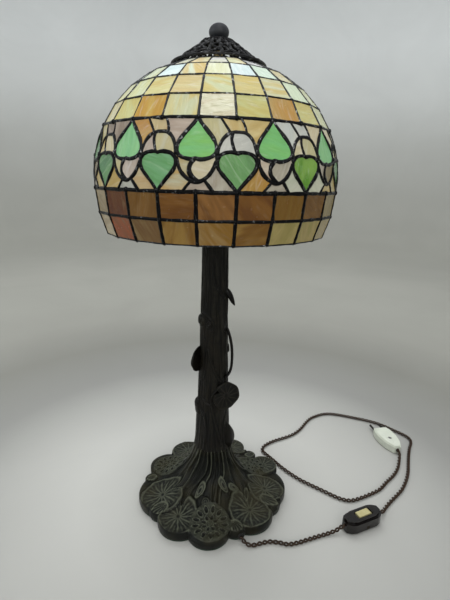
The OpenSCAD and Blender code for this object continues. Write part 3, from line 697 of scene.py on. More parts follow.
# pieces relative to the upper heart (0) and the lower heart (0)
piece_arch_l = cut(arch, (-7.3, 496.6), (-1.5, 516.7)) + cut(arch_stem, (-1.5, 516.7), (-0.9, 498.8)) + cut([(-a, z) for a, z in lh], (-0.9, 498.6), (-6.95, 493.6))
piece_arch_r = cut(arch_stem, (-0.9, 498.8), (-1.5, 516.7)) + cut(arch, (-1.0, 516.7), (7.4, 496.8)) + cut(lh, (6.95, 493.6), (0, 497.9))
piece_top_small = cut(short_l, (-6.1, 529.6), (-2.6, 515.8)) + cut(arch, (-2.2, 516.2), (3.4, 516.2)) + cut(short_r, (3.6, 516), (1.9, 529.6))
piece_bg_tl = [(-15, 529.9)] + cut(short_l, (-6.1, 529.9), (-2.6, 515.8)) + cut(arch, (-2.9, 515.4), (-7.0, 500.6)) + cut(shift(uh, -15), (-7.7, 502), (-15, 529.6))
piece_bg_tr = cut(short_r, (3.6, 516.0), (1.9, 529.9)) + [(15, 529.9)] + cut(shift([(-a, z) for a, z in uh], 15), (15, 529.6), (7.7, 502)) + cut(arch, (7.1, 501), (3.7, 516.0))
piece_u_l = cut(ub, (-7.3, 493.6), (0.2, 471.9)) + cut(ub_stem, (0.6, 472.2), (-1.0, 491.8)) + cut([(-a, z) for a, z in uh], (-1.2, 491.9), (-6.9, 497.2))
piece_u_r = cut(ub_stem, (-1.0, 491.8), (0.6, 472.2)) + cut(ub, (1.0, 472.0), (7.3, 490.2)) + cut(uh, (6.9, 497.2), (0, 492.7))
piece_bot_small = cut(below_l, (-1.8, 472.6), (-5.1, 462.4)) + cut(below_r, (6.3, 462.4), (3.0, 473.6)) + cut(ub, (2.6, 473.2), (-1.4, 472.5))
piece_bg_bl = [(-15, 462.3)] + cut(below_l, (-5.1, 462.3), (-1.8, 472.6)) + cut(ub, (-2.0, 473.0), (-7.2, 491.5)) + cut(shift(lh, -15), (-7.7, 489), (-15, 462.6))
piece_bg_br = cut(below_r, (3.0, 473.6), (6.3, 462.3)) + [(15, 462.3)] + cut(shift([(-a, z) for a, z in lh], 15), (15, 462.6), (7.7, 489)) + cut(ub, (7.2, 489.5), (3.2, 474.4))

BANDCOL = {  # by the upper (u) or lower (l) heart's azimuth
    "uh": {-37.5: "mint", -7.5: "apple", 22.5: "apple", 52.5: "mint", -67.5: "seagreen"},
    "lh": {-52.5: "seagreen", -22.5: "bluegreen", 7.5: "green", 37.5: "lime", 67.5: "green"},
    "arch_l": {-52.5: "amberlight", -22.5: "mauve", 7.5: "coolgrey", 37.5: "cream", 67.5: "pale"},
    "arch_r": {-52.5: "cream", -22.5: "pale", 7.5: "coolgrey", 37.5: "pale", 67.5: "cream"},
    "top_s": {-52.5: "pinkgrey", -22.5: "peach", 7.5: "amberlight", 37.5: "bluewhite", 67.5: "white"},
    "bg_tl": {-52.5: "yellow", -22.5: "amber", 7.5: "pale", 37.5: "bluewhite", 67.5: "cream"},
    "bg_tr": {-52.5: "pinkgrey", -22.5: "mauve", 7.5: "amberlight", 37.5: "cream", 67.5: "greenwhite"},
    "u_l": {-37.5: "pale", -7.5: "streak", 22.5: "pink", 52.5: "grey", -67.5: "amberlight"},
    "u_r": {-37.5: "mauve", -7.5: "cream", 22.5: "grey", 52.5: "olivecream", -67.5: "tan"},
    "bot_s": {-37.5: "coolgrey", -7.5: "mauve", 22.5: "grey", 52.5: "amberlight", -67.5: "grey"},
    "bg_bl": {-37.5: "amberlight", -7.5: "streakwhite", 22.5: "amber", 52.5: "greenwhite", -67.5: "pinkgrey"},
    "bg_br": {-37.5: "peach", -7.5: "grey", 22.5: "greenwhite", 52.5: "yellow", -67.5: "amberlight"},
}
CYC = {"uh": ["mint", "apple", "seagreen"], "lh": ["green", "bluegreen", "lime"], "arch_l": ["cream", "coolgrey", "mauve"], "arch_r": ["pale", "coolgrey", "cream"],
       "top_s": ["amberlight", "peach", "bluewhite"], "bg_tl": ["pale", "amber", "cream"], "bg_tr": ["amberlight", "mauve", "greenwhite"], "u_l": ["streak", "pink", "grey"],
       "u_r": ["cream", "grey", "mauve"], "bot_s": ["mauve", "coolgrey", "grey"], "bg_bl": ["streakwhite", "amber", "pinkgrey"], "bg_br": ["grey", "yellow", "peach"]}
BAND = [("hearts_upper", M_GREEN, "glass_green_light", [("uh", uh_full)], []),
        ("hearts_lower", M_GREEN, "glass_green_dark", [], [("lh", lh_full)]),
        ("arch_glass", M_GLASS, "glass_white", [("u_l", piece_u_l), ("u_r", piece_u_r)], [("arch_l", piece_arch_l), ("arch_r", piece_arch_r)]),
        ("background_glass", M_GLASS, "glass_white", [("bg_bl", piece_bg_bl), ("bg_br", piece_bg_br)], [("bg_tl", piece_bg_tl), ("bg_tr", piece_bg_tr)]),
        ("small_glass", M_GLASS, "glass_white", [("bot_s", piece_bot_small)], [("top_s", piece_top_small)])]
for bi, (nodename, mat_, slot_, ups, lows) in enumerate(BAND):
    g = Geo()
    for k in range(12):
        for base_az, items in ((-7.5 + 30 * k, ups), (7.5 + 30 * k, lows)):
            key = base_az if base_az <= 180 else base_az - 360
            for pi, (kind, poly) in enumerate(items):
                q = np.array(poly)
                keep = [0]
                for i in range(1, len(q)):
                    if np.hypot(*((q[i] - q[keep[-1]]) * [2.5, 1])) > 0.25:
                        keep.append(i)
                q = q[keep]
                if np.hypot(*((q[0] - q[-1]) * [2.5, 1])) < 0.25:
                    q = q[:-1]
                pts = band_pt(q[:, 0] + base_az, q[:, 1])
                p2 = [(a * 2.5, z) for a, z in q]
                col = BANDCOL[kind].get(key) or CYC[kind][(k + pi) % len(CYC[kind])]
                glass_plate(g, pts, p2, col, 2000 + bi * 400 + k * 17 + pi * 5 + (3 if base_az > 0 else 0), n=None, tone=(1, 1, 1) if mat_ is M_GREEN else (0.80, 0.76, 0.68))
    g.obj(nodename + "_pieces", "shade", mat_, [nodename], slot_, smooth=False)

# ------------------------------------------------------------------ solder
ring_geo, seam_geo, band_geo = Geo(), Geo(), Geo()
_sid = [0]


# each bead carries a strength for its painted sheen and silver glints, partly real worn silver
def bead(geo, P, N, w, h, shine=0.5, step=2.2, wob=0.18, closed=False, sides=8, inset=1.5):
    _sid[0] += 1
    P = np.asarray(P, float)
    N = unit(np.broadcast_to(N, P.shape))
    s = _sid[0] * 13.7
    q = P * 0.16
    wn = 1 + 0.20 * vnoise(q + s) + 0.13 * vnoise(q * 3.1 + s)
    hn = 1 + 0.20 * vnoise(q * 1.7 - s) + 0.12 * vnoise(q * 4.3 - s)
    T_ = tangents(P, closed)
    Bn = unit(np.cross(T_, N))
    C_ = P + Bn * (vnoise(P * 0.11 + s * 2)[:, None] * wob) - N * inset
    V, F_ = tube(C_, N, w * wn, (inset + h) * hn ** 0.5, sides, closed, 0.7)
    geo.add(V, F_, shine=shine)


def straight(p, q, n):
    t = np.linspace(0, 1, n)[:, None]
    return np.asarray(p) * (1 - t) + np.asarray(q) * t


NR = {"TA": frame_of(A, T), "AB": frame_of(B, A), "BC": frame_of(C, B), "CD": frame_of(Dl, C), "DE": frame_of(E, Dl), "EF": frame_of(F, E), "FG": frame_of(G, F)}
# last value per ring: strength of painted sheen and glints, high on the upper rings that face the overhead light
RINGS = [(T, NR["TA"], NR["TA"], 1.6, 0.9, 0.9), (A, NR["TA"], NR["AB"], 1.25, 0.7, 0.9), (B, NR["AB"], NR["BC"], 1.35, 0.8, 0.75), (C, NR["BC"], NR["CD"], 1.6, 0.9, 0.5),
         (Dl, NR["CD"], NR["DE"], 2.2, 1.2, 0.35), (E, NR["DE"], NR["EF"], 2.5, 1.2, 0.2), (F, NR["EF"], NR["FG"], 2.1, 1.0, 0.2), (G, NR["FG"], NR["FG"], 1.3, 0.7, 0.6)]
for (r, z), na, nb, w, h, sh in RINGS:
    nrm = (na + nb) / np.linalg.norm(na + nb)
    for k in range(24):
        a0, a1 = 15 * k - 7.5, 15 * k + 7.5
        p0, p1 = cyl(r, a0, z), cyl(r, a1, z)
        n_ = max(5, int(np.linalg.norm(p1 - p0) / 2.6))
        P = straight(p0, p1, n_)
        N = rz_dir(nrm, np.linspace(a0, a1, n_))
        bead(ring_geo, P, N, w, h, sh)
        if (r, z) != G:
            V, F_ = tube(np.array([p0 - rz_dir(nrm, a0) * 2.6, p0 + rz_dir(nrm, a0) * (h - 0.9)]), np.array([0, 0, 1.0]) if abs(nrm[1]) < 0.9 else np.array([1.0, 0, 0]), w * 1.2, w * 1.2, 8, False, 0.55)
            ring_geo.add(V, F_, shine=sh)
# last value per seam row: strength of painted sheen and glints, high on the upper rows, low on the downward-facing
# lower rows
SEAMS = [(A, T, 1.15, 0.7, 1.0), (B, A, 1.35, 0.8, 1.0), (C, B, 1.5, 0.9, 1.0), (Dl, C, 1.6, 0.9, 0.9), (F, E, 2.6, 1.0, 0.15), (G, F, 2.5, 1.0, 0.15)]
for lo, hi, w, h, sh in SEAMS:
    nrm = frame_of(lo, hi)
    for k in range(24):
        a0 = 15 * k + 7.5
        p0, p1 = cyl(lo[0], a0, lo[1]), cyl(hi[0], a0, hi[1])
        n_ = max(5, int(np.linalg.norm(p1 - p0) / 2.4))
        bead(seam_geo, straight(p0, p1, n_), rz_dir(nrm, a0), w, h, sh)


def band_line(pts, az, w, h, sh, closed=False):
    q = np.array(pts, float)
    q = smooth_path(q * [2.55, 1.0], 2.0, closed) / [2.55, 1.0]
    P = band_pt(q[:, 0] + az, q[:, 1])
    bead(band_geo, P, band_n(q[:, 0] + az, q[:, 1]), w, h, sh, closed=closed)


# last value of each band line: strength of painted sheen and glints, higher on the upper heart lines
for k in range(12):
    ua, la = -7.5 + 30 * k, 7.5 + 30 * k
    band_line(uh, ua, 2.3, 1.25, 0.5)
    band_line([(-a, z) for a, z in uh], ua, 2.3, 1.25, 0.4)
    band_line(lh, la, 2.4, 1.25, 0.2)
    band_line([(-a, z) for a, z in lh], la, 2.4, 1.25, 0.2)
    band_line(arch, la, 2.2, 1.2, 0.45)
    band_line(arch_stem, la, 2.1, 1.0, 0.3)
    band_line(short_l, la, 1.75, 1.0, 0.45)
    band_line(short_r, la, 1.75, 1.0, 0.45)
    band_line(ub, ua, 2.4, 1.15, 0.2)
    band_line(ub_stem, ua, 2.8, 1.0, 0.2)
    band_line(below_l, ua, 2.0, 1.0, 0.2)
    band_line(below_r, ua, 2.4, 1.0, 0.2)
    for a_, z_, rr in ((7.5, 498.0, 2.6), (7.6, 493.6, 2.2), (-7.5, 498.6, 2.4)):
        P = band_pt(np.array([ua + a_]), np.array([z_]))[0]
        N = band_n(np.array([ua + a_]), np.array([z_]))[0]
        V, F_ = tube(np.array([P - N * 2.8, P + N * 0.6]), np.array([0, 0, 1.0]), rr, rr * 1.2, 10, False, 0.6)
        band_geo.add(V, F_, shine=0.5)
ring_geo.obj("solder_ring_beads", "shade", M_SOLDER, ["solder_rings"], "solder")
seam_geo.obj("solder_seam_beads", "shade", M_SOLDER, ["solder_seams"], "solder")
band_geo.obj("solder_heart_beads", "shade", M_SOLDER, ["solder_heart_band"], "solder")

# ------------------------------------------------------------------ base casting
LOBES = np.array([[-3.1, -87.6, 31.2], [33.7, -83.4, 18], [54.6, -58.9, 35.5], [78.6, -36.9, 26.2], [71.5, -9.2, 44], [84.4, 34.4, 24.4], [64.1, 65.1, 11.8],
                  [35.4, 84.7, 22], [3, 86, 26], [-41.6, 70.6, 28.4], [-72.6, 36.7, 29.2], [-93.4, 5.6, 12.2], [-63.8, -22.9, 46.3], [-71.9, -54.2, 18.5], [-43.3, -72, 32.5]])


def edge_radius(az):
    best = np.full(len(az), 86.0)
    for x, y, r in LOBES:
        d, t = math.hypot(x, y), math.atan2(y, x) - az
        s = d * np.sin(t)
        ok = np.abs(s) < r
        best = np.maximum(best, np.where(ok, d * np.cos(t) + np.sqrt(np.maximum(r * r - s * s, 0)), 0))
    return best


def seg_dist(P2, line):
    """Distance of each point to the polyline, and how far along (0 to 1) the nearest point is."""
    best = np.full(len(P2), 1e9)
    at = np.zeros(len(P2))
    L = np.asarray(line, float)
    n = len(L) - 1
    for i in range(n):
        d = L[i + 1] - L[i]
        t = np.clip(((P2 - L[i]) @ d) / (d @ d), 0, 1)
        q = np.hypot(*(P2 - (L[i] + t[:, None] * d)).T)
        m = q < best
        best = np.where(m, q, best)
        at = np.where(m, (i + t) / n, at)
    return best, at


STRANDS = [
    [(-19.0, -19.0), (-25.6, -16.2), (-35.0, -16.0), (-43.5, -24.6), (-54.2, -31.4), (-63.6, -35.4)],
    [(-15.6, -21.5), (-19.4, -23.1), (-26.8, -25.3), (-33.8, -30.4), (-45.4, -38.2), (-50.0, -46.0)],
    [(-10.7, -24.0), (-13.1, -27.4), (-19.4, -30.7), (-28.0, -34.3), (-38.8, -38.3)],
    [(-5.8, -25.8), (-6.2, -29.2), (-10.0, -33.7), (-19.1, -37.8), (-28.9, -42.7), (-35.6, -51.2)],
    [(-1.0, -26.4), (-0.4, -29.6), (-2.3, -34.9), (-7.3, -39.2), (-10.4, -44.4), (-14.2, -52.9)],
    [(3.9, -26.4), (5.0, -30.0), (4.2, -35.6), (0.6, -42.8), (-0.3, -50.7), (-0.8, -62.1)],
    [(8.7, -25.1), (10.8, -28.1), (11.5, -33.9), (8.4, -42.7), (6.6, -51.7), (5.2, -64.6)],
    [(13.5, -22.5), (16.6, -25.0), (18.0, -30.8), (16.2, -38.7), (13.0, -48.0), (11.6, -64.0)],
    [(18.5, -19.1), (22.6, -21.0), (26.4, -26.0), (31.4, -32.0), (35.6, -38.0), (40.5, -44.3)],
    [(21.9, -16.3), (28.5, -16.4), (35.0, -20.3), (40.6, -27.0), (45.0, -35.8), (48.0, -46.9)],
    [(24.5, -12.9), (32.8, -10.1), (40.7, -11.2), (49.4, -15.0), (60.4, -19.5), (72.1, -20.0)],
    [(26.2, -8.2), (34.0, -4.0), (43.1, -1.2), (53.5, 3.2), (60.0, 12.0)],
    [(26.5, -1.5), (33.0, 4.0), (40.0, 12.0), (50.0, 19.0), (58.0, 24.0)],
    [(-22.5, -14.0), (-30.0, -8.0), (-38.5, -6.0), (-48.0, -10.0), (-57.0, -20.0)],
    [(-24.5, -9.0), (-32.0, 0.0), (-42.0, 5.0), (-54.0, 8.0), (-62.0, 12.0)],
    [(-26.0, -3.0), (-31.5, 7.0), (-40.0, 14.0), (-50.0, 20.0), (-58.0, 25.0)],
    [(25.5, 5.5), (31.0, 13.0), (37.0, 23.0), (45.0, 33.0), (54.0, 42.0)], [(23.0, 12.0), (27.0, 20.0), (31.0, 31.0), (40.0, 42.0), (48.0, 54.0)],
    [(18.5, 18.5), (21.0, 26.0), (22.0, 36.0), (26.0, 48.0), (30.0, 62.0)], [(12.5, 23.0), (14.0, 31.0), (13.0, 42.0), (16.0, 55.0), (18.0, 66.0)],
    [(6.0, 25.5), (7.0, 33.0), (4.0, 44.0), (5.0, 56.0), (3.0, 66.0)], [(-1.0, 26.3), (-2.0, 34.0), (-6.0, 45.0), (-8.0, 57.0), (-13.0, 66.0)],
    [(-8.0, 25.0), (-10.0, 33.0), (-16.0, 43.0), (-20.0, 55.0), (-27.0, 64.0)], [(-14.5, 22.0), (-18.0, 29.0), (-26.0, 38.0), (-32.0, 49.0), (-42.0, 56.0)],
    [(-20.0, 17.0), (-25.0, 24.0), (-34.0, 31.0), (-43.0, 37.0), (-53.0, 43.0)], [(-24.0, 10.0), (-30.0, 16.0), (-39.0, 22.0), (-50.0, 27.0), (-60.0, 32.0)],
]
# leaf pads: centre, radius, direction of the notch, number of veins
PADS = [((-46.0, -76.5), 29.5, 78, 13), ((-73.0, -36.5), 31.5, 18, 13), ((56.3, -64.5), 31.0, 106, 13), ((82.0, -21.5), 28.5, 166, 13),
        ((36.0, 82.0), 25.5, 240, 12), ((86.0, 34.0), 22.5, 205, 11), ((-42.0, 70.0), 29.0, 300, 12), ((2.0, 84.0), 27.0, 272, 12)]
# lily flowers: centre, outer radius, turn
FLOWERS = [((-1.0, -89.5), 26.0, 4), ((66.0, 27.0), 22.0, 30), ((-69.0, 30.0), 24.0, 100), ((22.0, 70.0), 17.0, 10)]
# small pointed leaves and buds: centre, half length, half width, direction, kind
BUDS = [((-16.5, -47.0), 10.0, 4.8, 227, 1), ((17.5, -41.5), 8.6, 4.6, 318, 1), ((33.0, -38.8), 8.0, 3.9, 2, 1), ((52.0, -42.0), 10.5, 3.0, 268, 0),
        ((36.0, -96.0), 15.5, 8.0, 292, 2), ((-95.0, 2.0), 8.5, 5.5, 205, 2), ((66.0, 60.0), 10.0, 6.0, 40, 2), ((86.0, -45.0), 15.0, 9.0, 330, 2),
        ((-75.0, -62.0), 15.0, 9.0, 220, 2), ((-14.0, 44.0), 9.0, 4.5, 110, 1), ((30.0, 30.0), 9.0, 4.5, 45, 1), ((-36.0, 18.0), 9.0, 4.5, 150, 1)]
SPIRALS = [((-7.5, -60.5), 6.6), ((44.0, 24.0), 6.0), ((-50.0, 34.0), 6.0)]


def relief(P2):
    """Height of the cast relief over the plain mound, and how bright its worn ridges are."""
    n = len(P2)
    r = np.hypot(*P2.T)
    h = np.full(n, -1.6) * sstep(40, 62, r)
    ridge = np.full(n, 0.10)
    wob = 1 + 0.10 * fbm(np.c_[P2 * 0.09, np.zeros(n)], 2, 3.0)
    # pads
    for ci, (c, R, notch, veins) in enumerate(PADS):
        u = P2 - c
        rho = np.hypot(*u.T) * wob
        th = np.arctan2(u[:, 1], u[:, 0]) - notch * D2R
        th = (th + math.pi) % (2 * math.pi) - math.pi
        Rp = R * (1 - 0.52 * np.exp(-(th / 0.16) ** 2) + 0.035 * np.cos(th * 2) - 0.03 * np.exp(-((np.abs(th) - 0.5) / 0.3) ** 2))
        q = rho / Rp
        inside = 1 - sstep(0.97, 1.03, q)
        rim = np.exp(-((q - 0.93) * Rp / 1.25) ** 2)
        warp = 0.035 * np.sin(rho * 0.25 + ci * 2) + 0.04 * fbm(np.c_[P2 * 0.2, np.full(n, ci)], 2, 9.0)
        k = (th + warp) / (2 * math.pi) * veins
        dv = np.abs(k - np.round(k)) * 2 * math.pi / veins * rho
        vein = np.exp(-(dv / (0.75 + 0.012 * rho)) ** 2) * sstep(1.0, 4.0, rho) * (1 - sstep(0.62, 0.90, q))
        k2 = k + 0.5 + 0.0
        dv2 = np.abs(k2 - np.round(k2)) * 2 * math.pi / veins * rho
        fork = np.exp(-(dv2 / 0.7) ** 2) * sstep(0.45, 0.6, q) * (1 - sstep(0.78, 0.95, q))
        hub = np.exp(-(rho / 2.2) ** 2)
        dish = -0.9 * (1 - np.clip(q, 0, 1) ** 2) - 0.5 * hub
        top = 0.7 + dish + 0.80 * rim + 0.55 * vein + 0.35 * fork + 0.18 * fbm(np.c_[P2 * 0.5, np.full(n, ci)], 2, 4.0) + 0.25 * math.sin(ci * 1.7)
        # the shadowed step round the pad
        ditch = np.exp(-((q - 1.07) * Rp / 1.3) ** 2)
        h = h - 1.0 * ditch * (q > 1)
        h = np.where(inside > 0.5, top, h)
        rg = 0.30 + 0.34 * rim + 0.38 * vein + 0.2 * fork - 0.1 * hub
        ridge = np.where(inside > 0.5, rg, ridge - 0.3 * ditch)
    # root strands
    best = np.zeros(n)
    rb = np.zeros(n)
    near = r < 92
    Pn = P2[near]
    for si, line in enumerate(STRANDS):
        L = smooth_path(np.array(line), 3.0)
        d, t = seg_dist(Pn, L)
        w = 1.55 + 0.9 * t
        a = (2.3 - 1.0 * t) * (1 - sstep(0.93, 1.0, t)) * (0.85 + 0.3 * math.sin(si * 2.3))
        g = a * np.exp(-(d / w) ** 2)
        best[near] = np.maximum(best[near], g)
        rb[near] = np.maximum(rb[near], np.exp(-(d / (w * 0.6)) ** 2) * (0.30 + 0.35 * (0.5 + 0.5 * math.sin(si * 1.9 + 0.5))) * (1 - 0.4 * t))
    fine = fbm(np.c_[np.arctan2(P2[:, 1], P2[:, 0]) * 14, r * 0.05, np.zeros(n)], 2, 2.0) * (1 - sstep(45, 62, r)) * 0.5
    root_zone = 1 - sstep(52, 72, r)
    h = np.where((best > 0.35) & (r < 84), np.maximum(h, best - 0.6 * (1 - root_zone)), h) + fine
    h = h - 0.9 * root_zone * np.exp(-(best / 0.8) ** 2)
    ridge = np.maximum(ridge, rb)
    # buds and small leaves
    for c, a, bw, deg, kind in BUDS:
        u = P2 - c
        cs, sn = math.cos(deg * D2R), math.sin(deg * D2R)
        x, y = (u[:, 0] * cs + u[:, 1] * sn) / a, (-u[:, 0] * sn + u[:, 1] * cs) / bw
        xx = np.clip(x, -1, 1)
        wshape = np.sqrt(np.clip(1 - xx ** 2, 0, 1)) * (1 - 0.35 * xx)
        q = np.hypot(np.where(np.abs(x) > 1, x, xx), np.where(wshape > 0.02, y / np.maximum(wshape, 0.02) * np.sqrt(np.clip(1 - xx ** 2, 0, 1)), 9))
        m = q < 1.05
        rim = np.exp(-((q - 0.9) * bw / 0.85) ** 2)
        if kind == 1:
            inner = np.exp(-((q - 0.45) * bw / 0.7) ** 2)
            hh = 1.3 * (1 - q ** 2).clip(0) + 1.0 * rim + 0.5 * inner
            rg = 0.2 + 0.5 * rim + 0.4 * inner
        elif kind == 2:
            ang = np.arctan2(y * bw, (x + 0.95) * a)
            rays = np.exp(-((np.abs(ang / 0.24 - np.round(ang / 0.24))) / 0.22) ** 2)
            hh = 0.4 + 0.8 * rim + 0.6 * rays
            rg = 0.22 + 0.4 * rim + 0.35 * rays
        else:
            hh = 0.4 + 1.3 * rim
            rg = 0.15 + 0.55 * rim
        h = np.where(m, hh, h - 0.7 * np.exp(-((q - 1.15) / 0.12) ** 2) * (q > 1))
        ridge = np.where(m, rg, ridge)
    for c, R in SPIRALS:
        u = P2 - c
        rho, th = np.hypot(*u.T), np.arctan2(u[:, 1], u[:, 0])
        m = rho < R
        ph = (rho / 2.6 - th / (2 * math.pi)) % 1.0
        coil = np.exp(-((ph - 0.5) / 0.2) ** 2)
        h = np.where(m, 0.8 + 1.2 * (1 - (rho / R) ** 2) + 0.7 * coil, h)
        ridge = np.where(m, 0.2 + 0.4 * coil, ridge)
    # flowers: two rings of spoon petals round a boss
    for c, R, turn in FLOWERS:
        u = P2 - c
        rho, th = np.hypot(*u.T), np.arctan2(u[:, 1], u[:, 0]) + turn * D2R
        m0 = rho < R * 1.12
        hh = np.where(m0, 0.15 + 0.2 * fbm(np.c_[P2 * 0.4, np.zeros(n)], 2, 5.0), h)
        rg = np.where(m0, 0.42, ridge)
        for count, r0, r1, w_, off in ((9, 0.60, 0.98, 0.135, 0.5), (13, 0.56, 1.0, 0.115, 0.0), (8, 0.18, 0.52, 0.10, 0.25)):
            k = th / (2 * math.pi) * count + off
            if count == 9:
                continue
            dth = (k - np.round(k)) * 2 * math.pi / count
            long = (rho * np.cos(dth) / R - (r0 + r1) / 2) / ((r1 - r0) / 2)
            side = rho * np.sin(dth) / (R * w_)
            q = np.hypot(long, side / np.sqrt(np.clip(1.05 - 0.25 * long, 0.4, 2)))
            mp = q < 1.12
            rim = np.exp(-((q - 0.93) / 0.17) ** 2)
            ph = 0.2 - 1.1 * (1 - q ** 2).clip(0) + 1.25 * rim
            hh = np.where(mp, ph, hh)
            rg = np.where(mp, 0.02 + 0.8 * rim, rg)
        boss = rho < R * 0.13
        hh = np.where(boss, 0.9, hh)
        rg = np.where(boss, 0.5, rg)
        h = np.where(m0, hh, h)
        ridge = np.where(m0, rg, ridge)
    return h, ridge


NA = 620
NR_ = 150
az = np.arange(NA) * 2 * math.pi / NA
Re = edge_radius(az)
prof = np.array([(26, 88), (30, 67), (37, 50), (47, 37), (60, 27), (76, 19.5), (90, 16.2)])
pl_ = np.concatenate([[0], np.cumsum(np.hypot(*np.diff(prof, axis=0).T))])
ext = np.array([(r_, 16.0) for r_ in (96, 104, 112, 122)])
prof2 = np.concatenate([prof, ext])
prof2 = smooth_path(np.c_[prof2, np.zeros(len(prof2))], 1.0)[:, :2]
sl = np.concatenate([[0], np.cumsum(np.hypot(*np.diff(prof2, axis=0).T))])
S_of_r = np.interp(Re - 1.2, prof2[:, 0], sl)
u = np.linspace(0, 1, NR_)
Sg = u[:, None] * S_of_r[None, :]
Rg, Zg = np.interp(Sg, sl, prof2[:, 0]), np.interp(Sg, sl, prof2[:, 1])
dr, dz = np.interp(Sg + 1, sl, prof2[:, 0]) - np.interp(Sg - 1, sl, prof2[:, 0]), np.interp(Sg + 1, sl, prof2[:, 1]) - np.interp(Sg - 1, sl, prof2[:, 1])
nn = np.hypot(dr, dz)
nr_, nz_ = -dz / nn, dr / nn
X, Y = Rg * np.cos(az), Rg * np.sin(az)
hgt, rdg = relief(np.c_[X.ravel(), Y.ravel()])
hgt = hgt.reshape(X.shape) * sstep(0.0, 0.03, u)[:, None]
rdg = rdg.reshape(X.shape)
edge_d = Re[None, :] - Rg
hgt = hgt - 1.0 * (1 - sstep(0.0, 3.2, edge_d - 1.2)) * sstep(88, 98, Rg)
RR, ZZ = Rg + nr_ * hgt, Zg + nz_ * hgt
V = [np.stack([RR * np.cos(az), RR * np.sin(az), ZZ], -1).reshape(-1, 3)]
rid = [rdg.ravel()]
ztop = ZZ[-1]
rings = NR_
for dR, zf in ((-0.45, None), (0.0, 12.5), (0.15, 8.0), (0.0, 3.4), (-0.6, 2.2)):
    rr_ = Re + dR + (0.25 * vnoise(np.c_[np.cos(az) * 9, np.sin(az) * 9, np.full(NA, dR * 5)], 2) if dR > -0.5 else 0)
    zz_ = ztop - 0.9 if zf is None else np.full(NA, zf)
    V.append(np.stack([rr_ * np.cos(az), rr_ * np.sin(az), zz_], -1))
    rid.append(np.full(NA, -0.05 if zf is not None else 0.25))
    rings += 1
for rr_, zz_ in ((60.0, 2.2), (16.0, 2.2), (16.0, 84.0), (24.0, 88.0)):
    V.append(np.stack([rr_ * np.cos(az), rr_ * np.sin(az), np.full(NA, zz_)], -1))
    rid.append(np.full(NA, 0.0))
    rings += 1
Vb = np.concatenate(V)
ii, kk = np.meshgrid(np.arange(rings), np.arange(NA), indexing="ij")
i2, k2 = (ii + 1) % rings, (kk + 1) % NA
Fb = np.stack([ii * NA + kk, i2 * NA + kk, i2 * NA + k2, ii * NA + k2], -1).reshape(-1, 4)
g = Geo()
g.add(Vb, [tuple(f) for f in Fb.tolist()], ridge=np.concatenate(rid))
g.obj("lily_pad_base", "root", M_PATINA, ["base_casting"], "patina_metal")

# ------------------------------------------------------------------ trunk
NA, NZ = ((300, 430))
az = np.arange(NA) * 2 * math.pi / NA
phi = np.degrees(np.arctan2(np.cos(az), -np.sin(az)) * 1.0)      # 0 at the front, positive to the right
zz = np.concatenate([[83.0, 85.0], np.linspace(87.0, 430.0, NZ - 2)])
rad0 = np.interp(zz, [83, 88, 96, 110, 150, 160, 238, 384, 430], [27.2, 26.4, 25.2, 24.6, 23.4, 22.4, 20.0, 17.4, 16.8])
PH, ZG = np.meshgrid(phi, zz)
R0 = np.repeat(rad0[:, None], NA, 1)
cosA, sinA = np.cos(az)[None, :] + 0 * ZG, np.sin(az)[None, :] + 0 * ZG
q = np.stack([cosA * 3.4, sinA * 3.4, ZG * 0.012], -1)
warp = fbm(q, 3, 1.0)
fl = np.stack([cosA * 7.5 + warp * 1.1, sinA * 7.5 + warp * 1.1, ZG * 0.016], -1)
n1 = 1 - np.abs(fbm(fl, 3, 12.0)) * 2.6
n2 = fbm(np.stack([cosA * 16 + warp * 2, sinA * 16, ZG * 0.05], -1), 2, 31.0)
disp = 0.85 * np.clip(n1, -1, 1) + 0.35 * n2 + 0.5 * warp
ridge_t = 0.22 + 0.24 * np.clip(n1, -0.6, 1) + 0.10 * n2
# the root strands run up into the bark
for line in STRANDS:
    x0, y0 = line[0]
    p0 = math.degrees(math.atan2(x0, -y0))
    drift = p0 + 8 * np.sin((ZG - 88) * 0.02 + p0)
    dd = (PH - drift + 180) % 360 - 180
    gg = np.exp(-((dd * D2R * R0) / 1.7) ** 2) * (1 - sstep(120, 200, ZG))
    disp = np.maximum(disp, -0.6 + 2.0 * gg)
    ridge_t = np.maximum(ridge_t, 0.34 * gg)
disp = disp - 0.35


def trunk_line(pts, w, a, bright):
    """A vine lying on the bark: points are (degrees from the front, height)."""
    global disp, ridge_t
    L = smooth_path(np.array([(p_ * 0.36, z_) for p_, z_ in pts]), 2.0)
    P2 = np.c_[(PH * 0.36).ravel(), ZG.ravel()]
    d, t = seg_dist(P2, L)
    d, t = d.reshape(PH.shape), t.reshape(PH.shape)
    taper = np.sqrt(np.clip(1 - (2 * t - 1) ** 6, 0, 1))
    gsh = np.sqrt(np.clip(1 - (d / w) ** 2, 0, 1))
    disp = np.where(d < w, np.maximum(disp, a * gsh * taper), disp - 0.5 * np.exp(-((d - w) / 0.9) ** 2))
    ridge_t = np.maximum(ridge_t - 0.2 * np.exp(-((d - w) / 1.2) ** 2), bright * np.exp(-(d / (0.55 * w)) ** 2))


def knob(p_, z_, rx, rz, a, rings_=0):
    global disp, ridge_t
    dd = (PH - p_ + 180) % 360 - 180
    qx, qz = dd * D2R * R0 / rx, (ZG - z_) / rz
    qq = np.hypot(qx, qz)
    bumpv = a * np.sqrt(np.clip(1 - qq ** 2, 0, 1))
    if rings_:
        bumpv = bumpv + 0.6 * np.sin(qq * rings_ * math.pi * 2 + np.arctan2(qz, qx)) * (qq < 1)
    disp = np.where(qq < 1, np.maximum(disp, bumpv), disp - 0.5 * np.exp(-((qq - 1) * rx / 1.0) ** 2))
    ridge_t = np.maximum(ridge_t, np.where(qq < 1, 0.15 + 0.25 * np.exp(-((qq - 0.85) / 0.12) ** 2), 0))


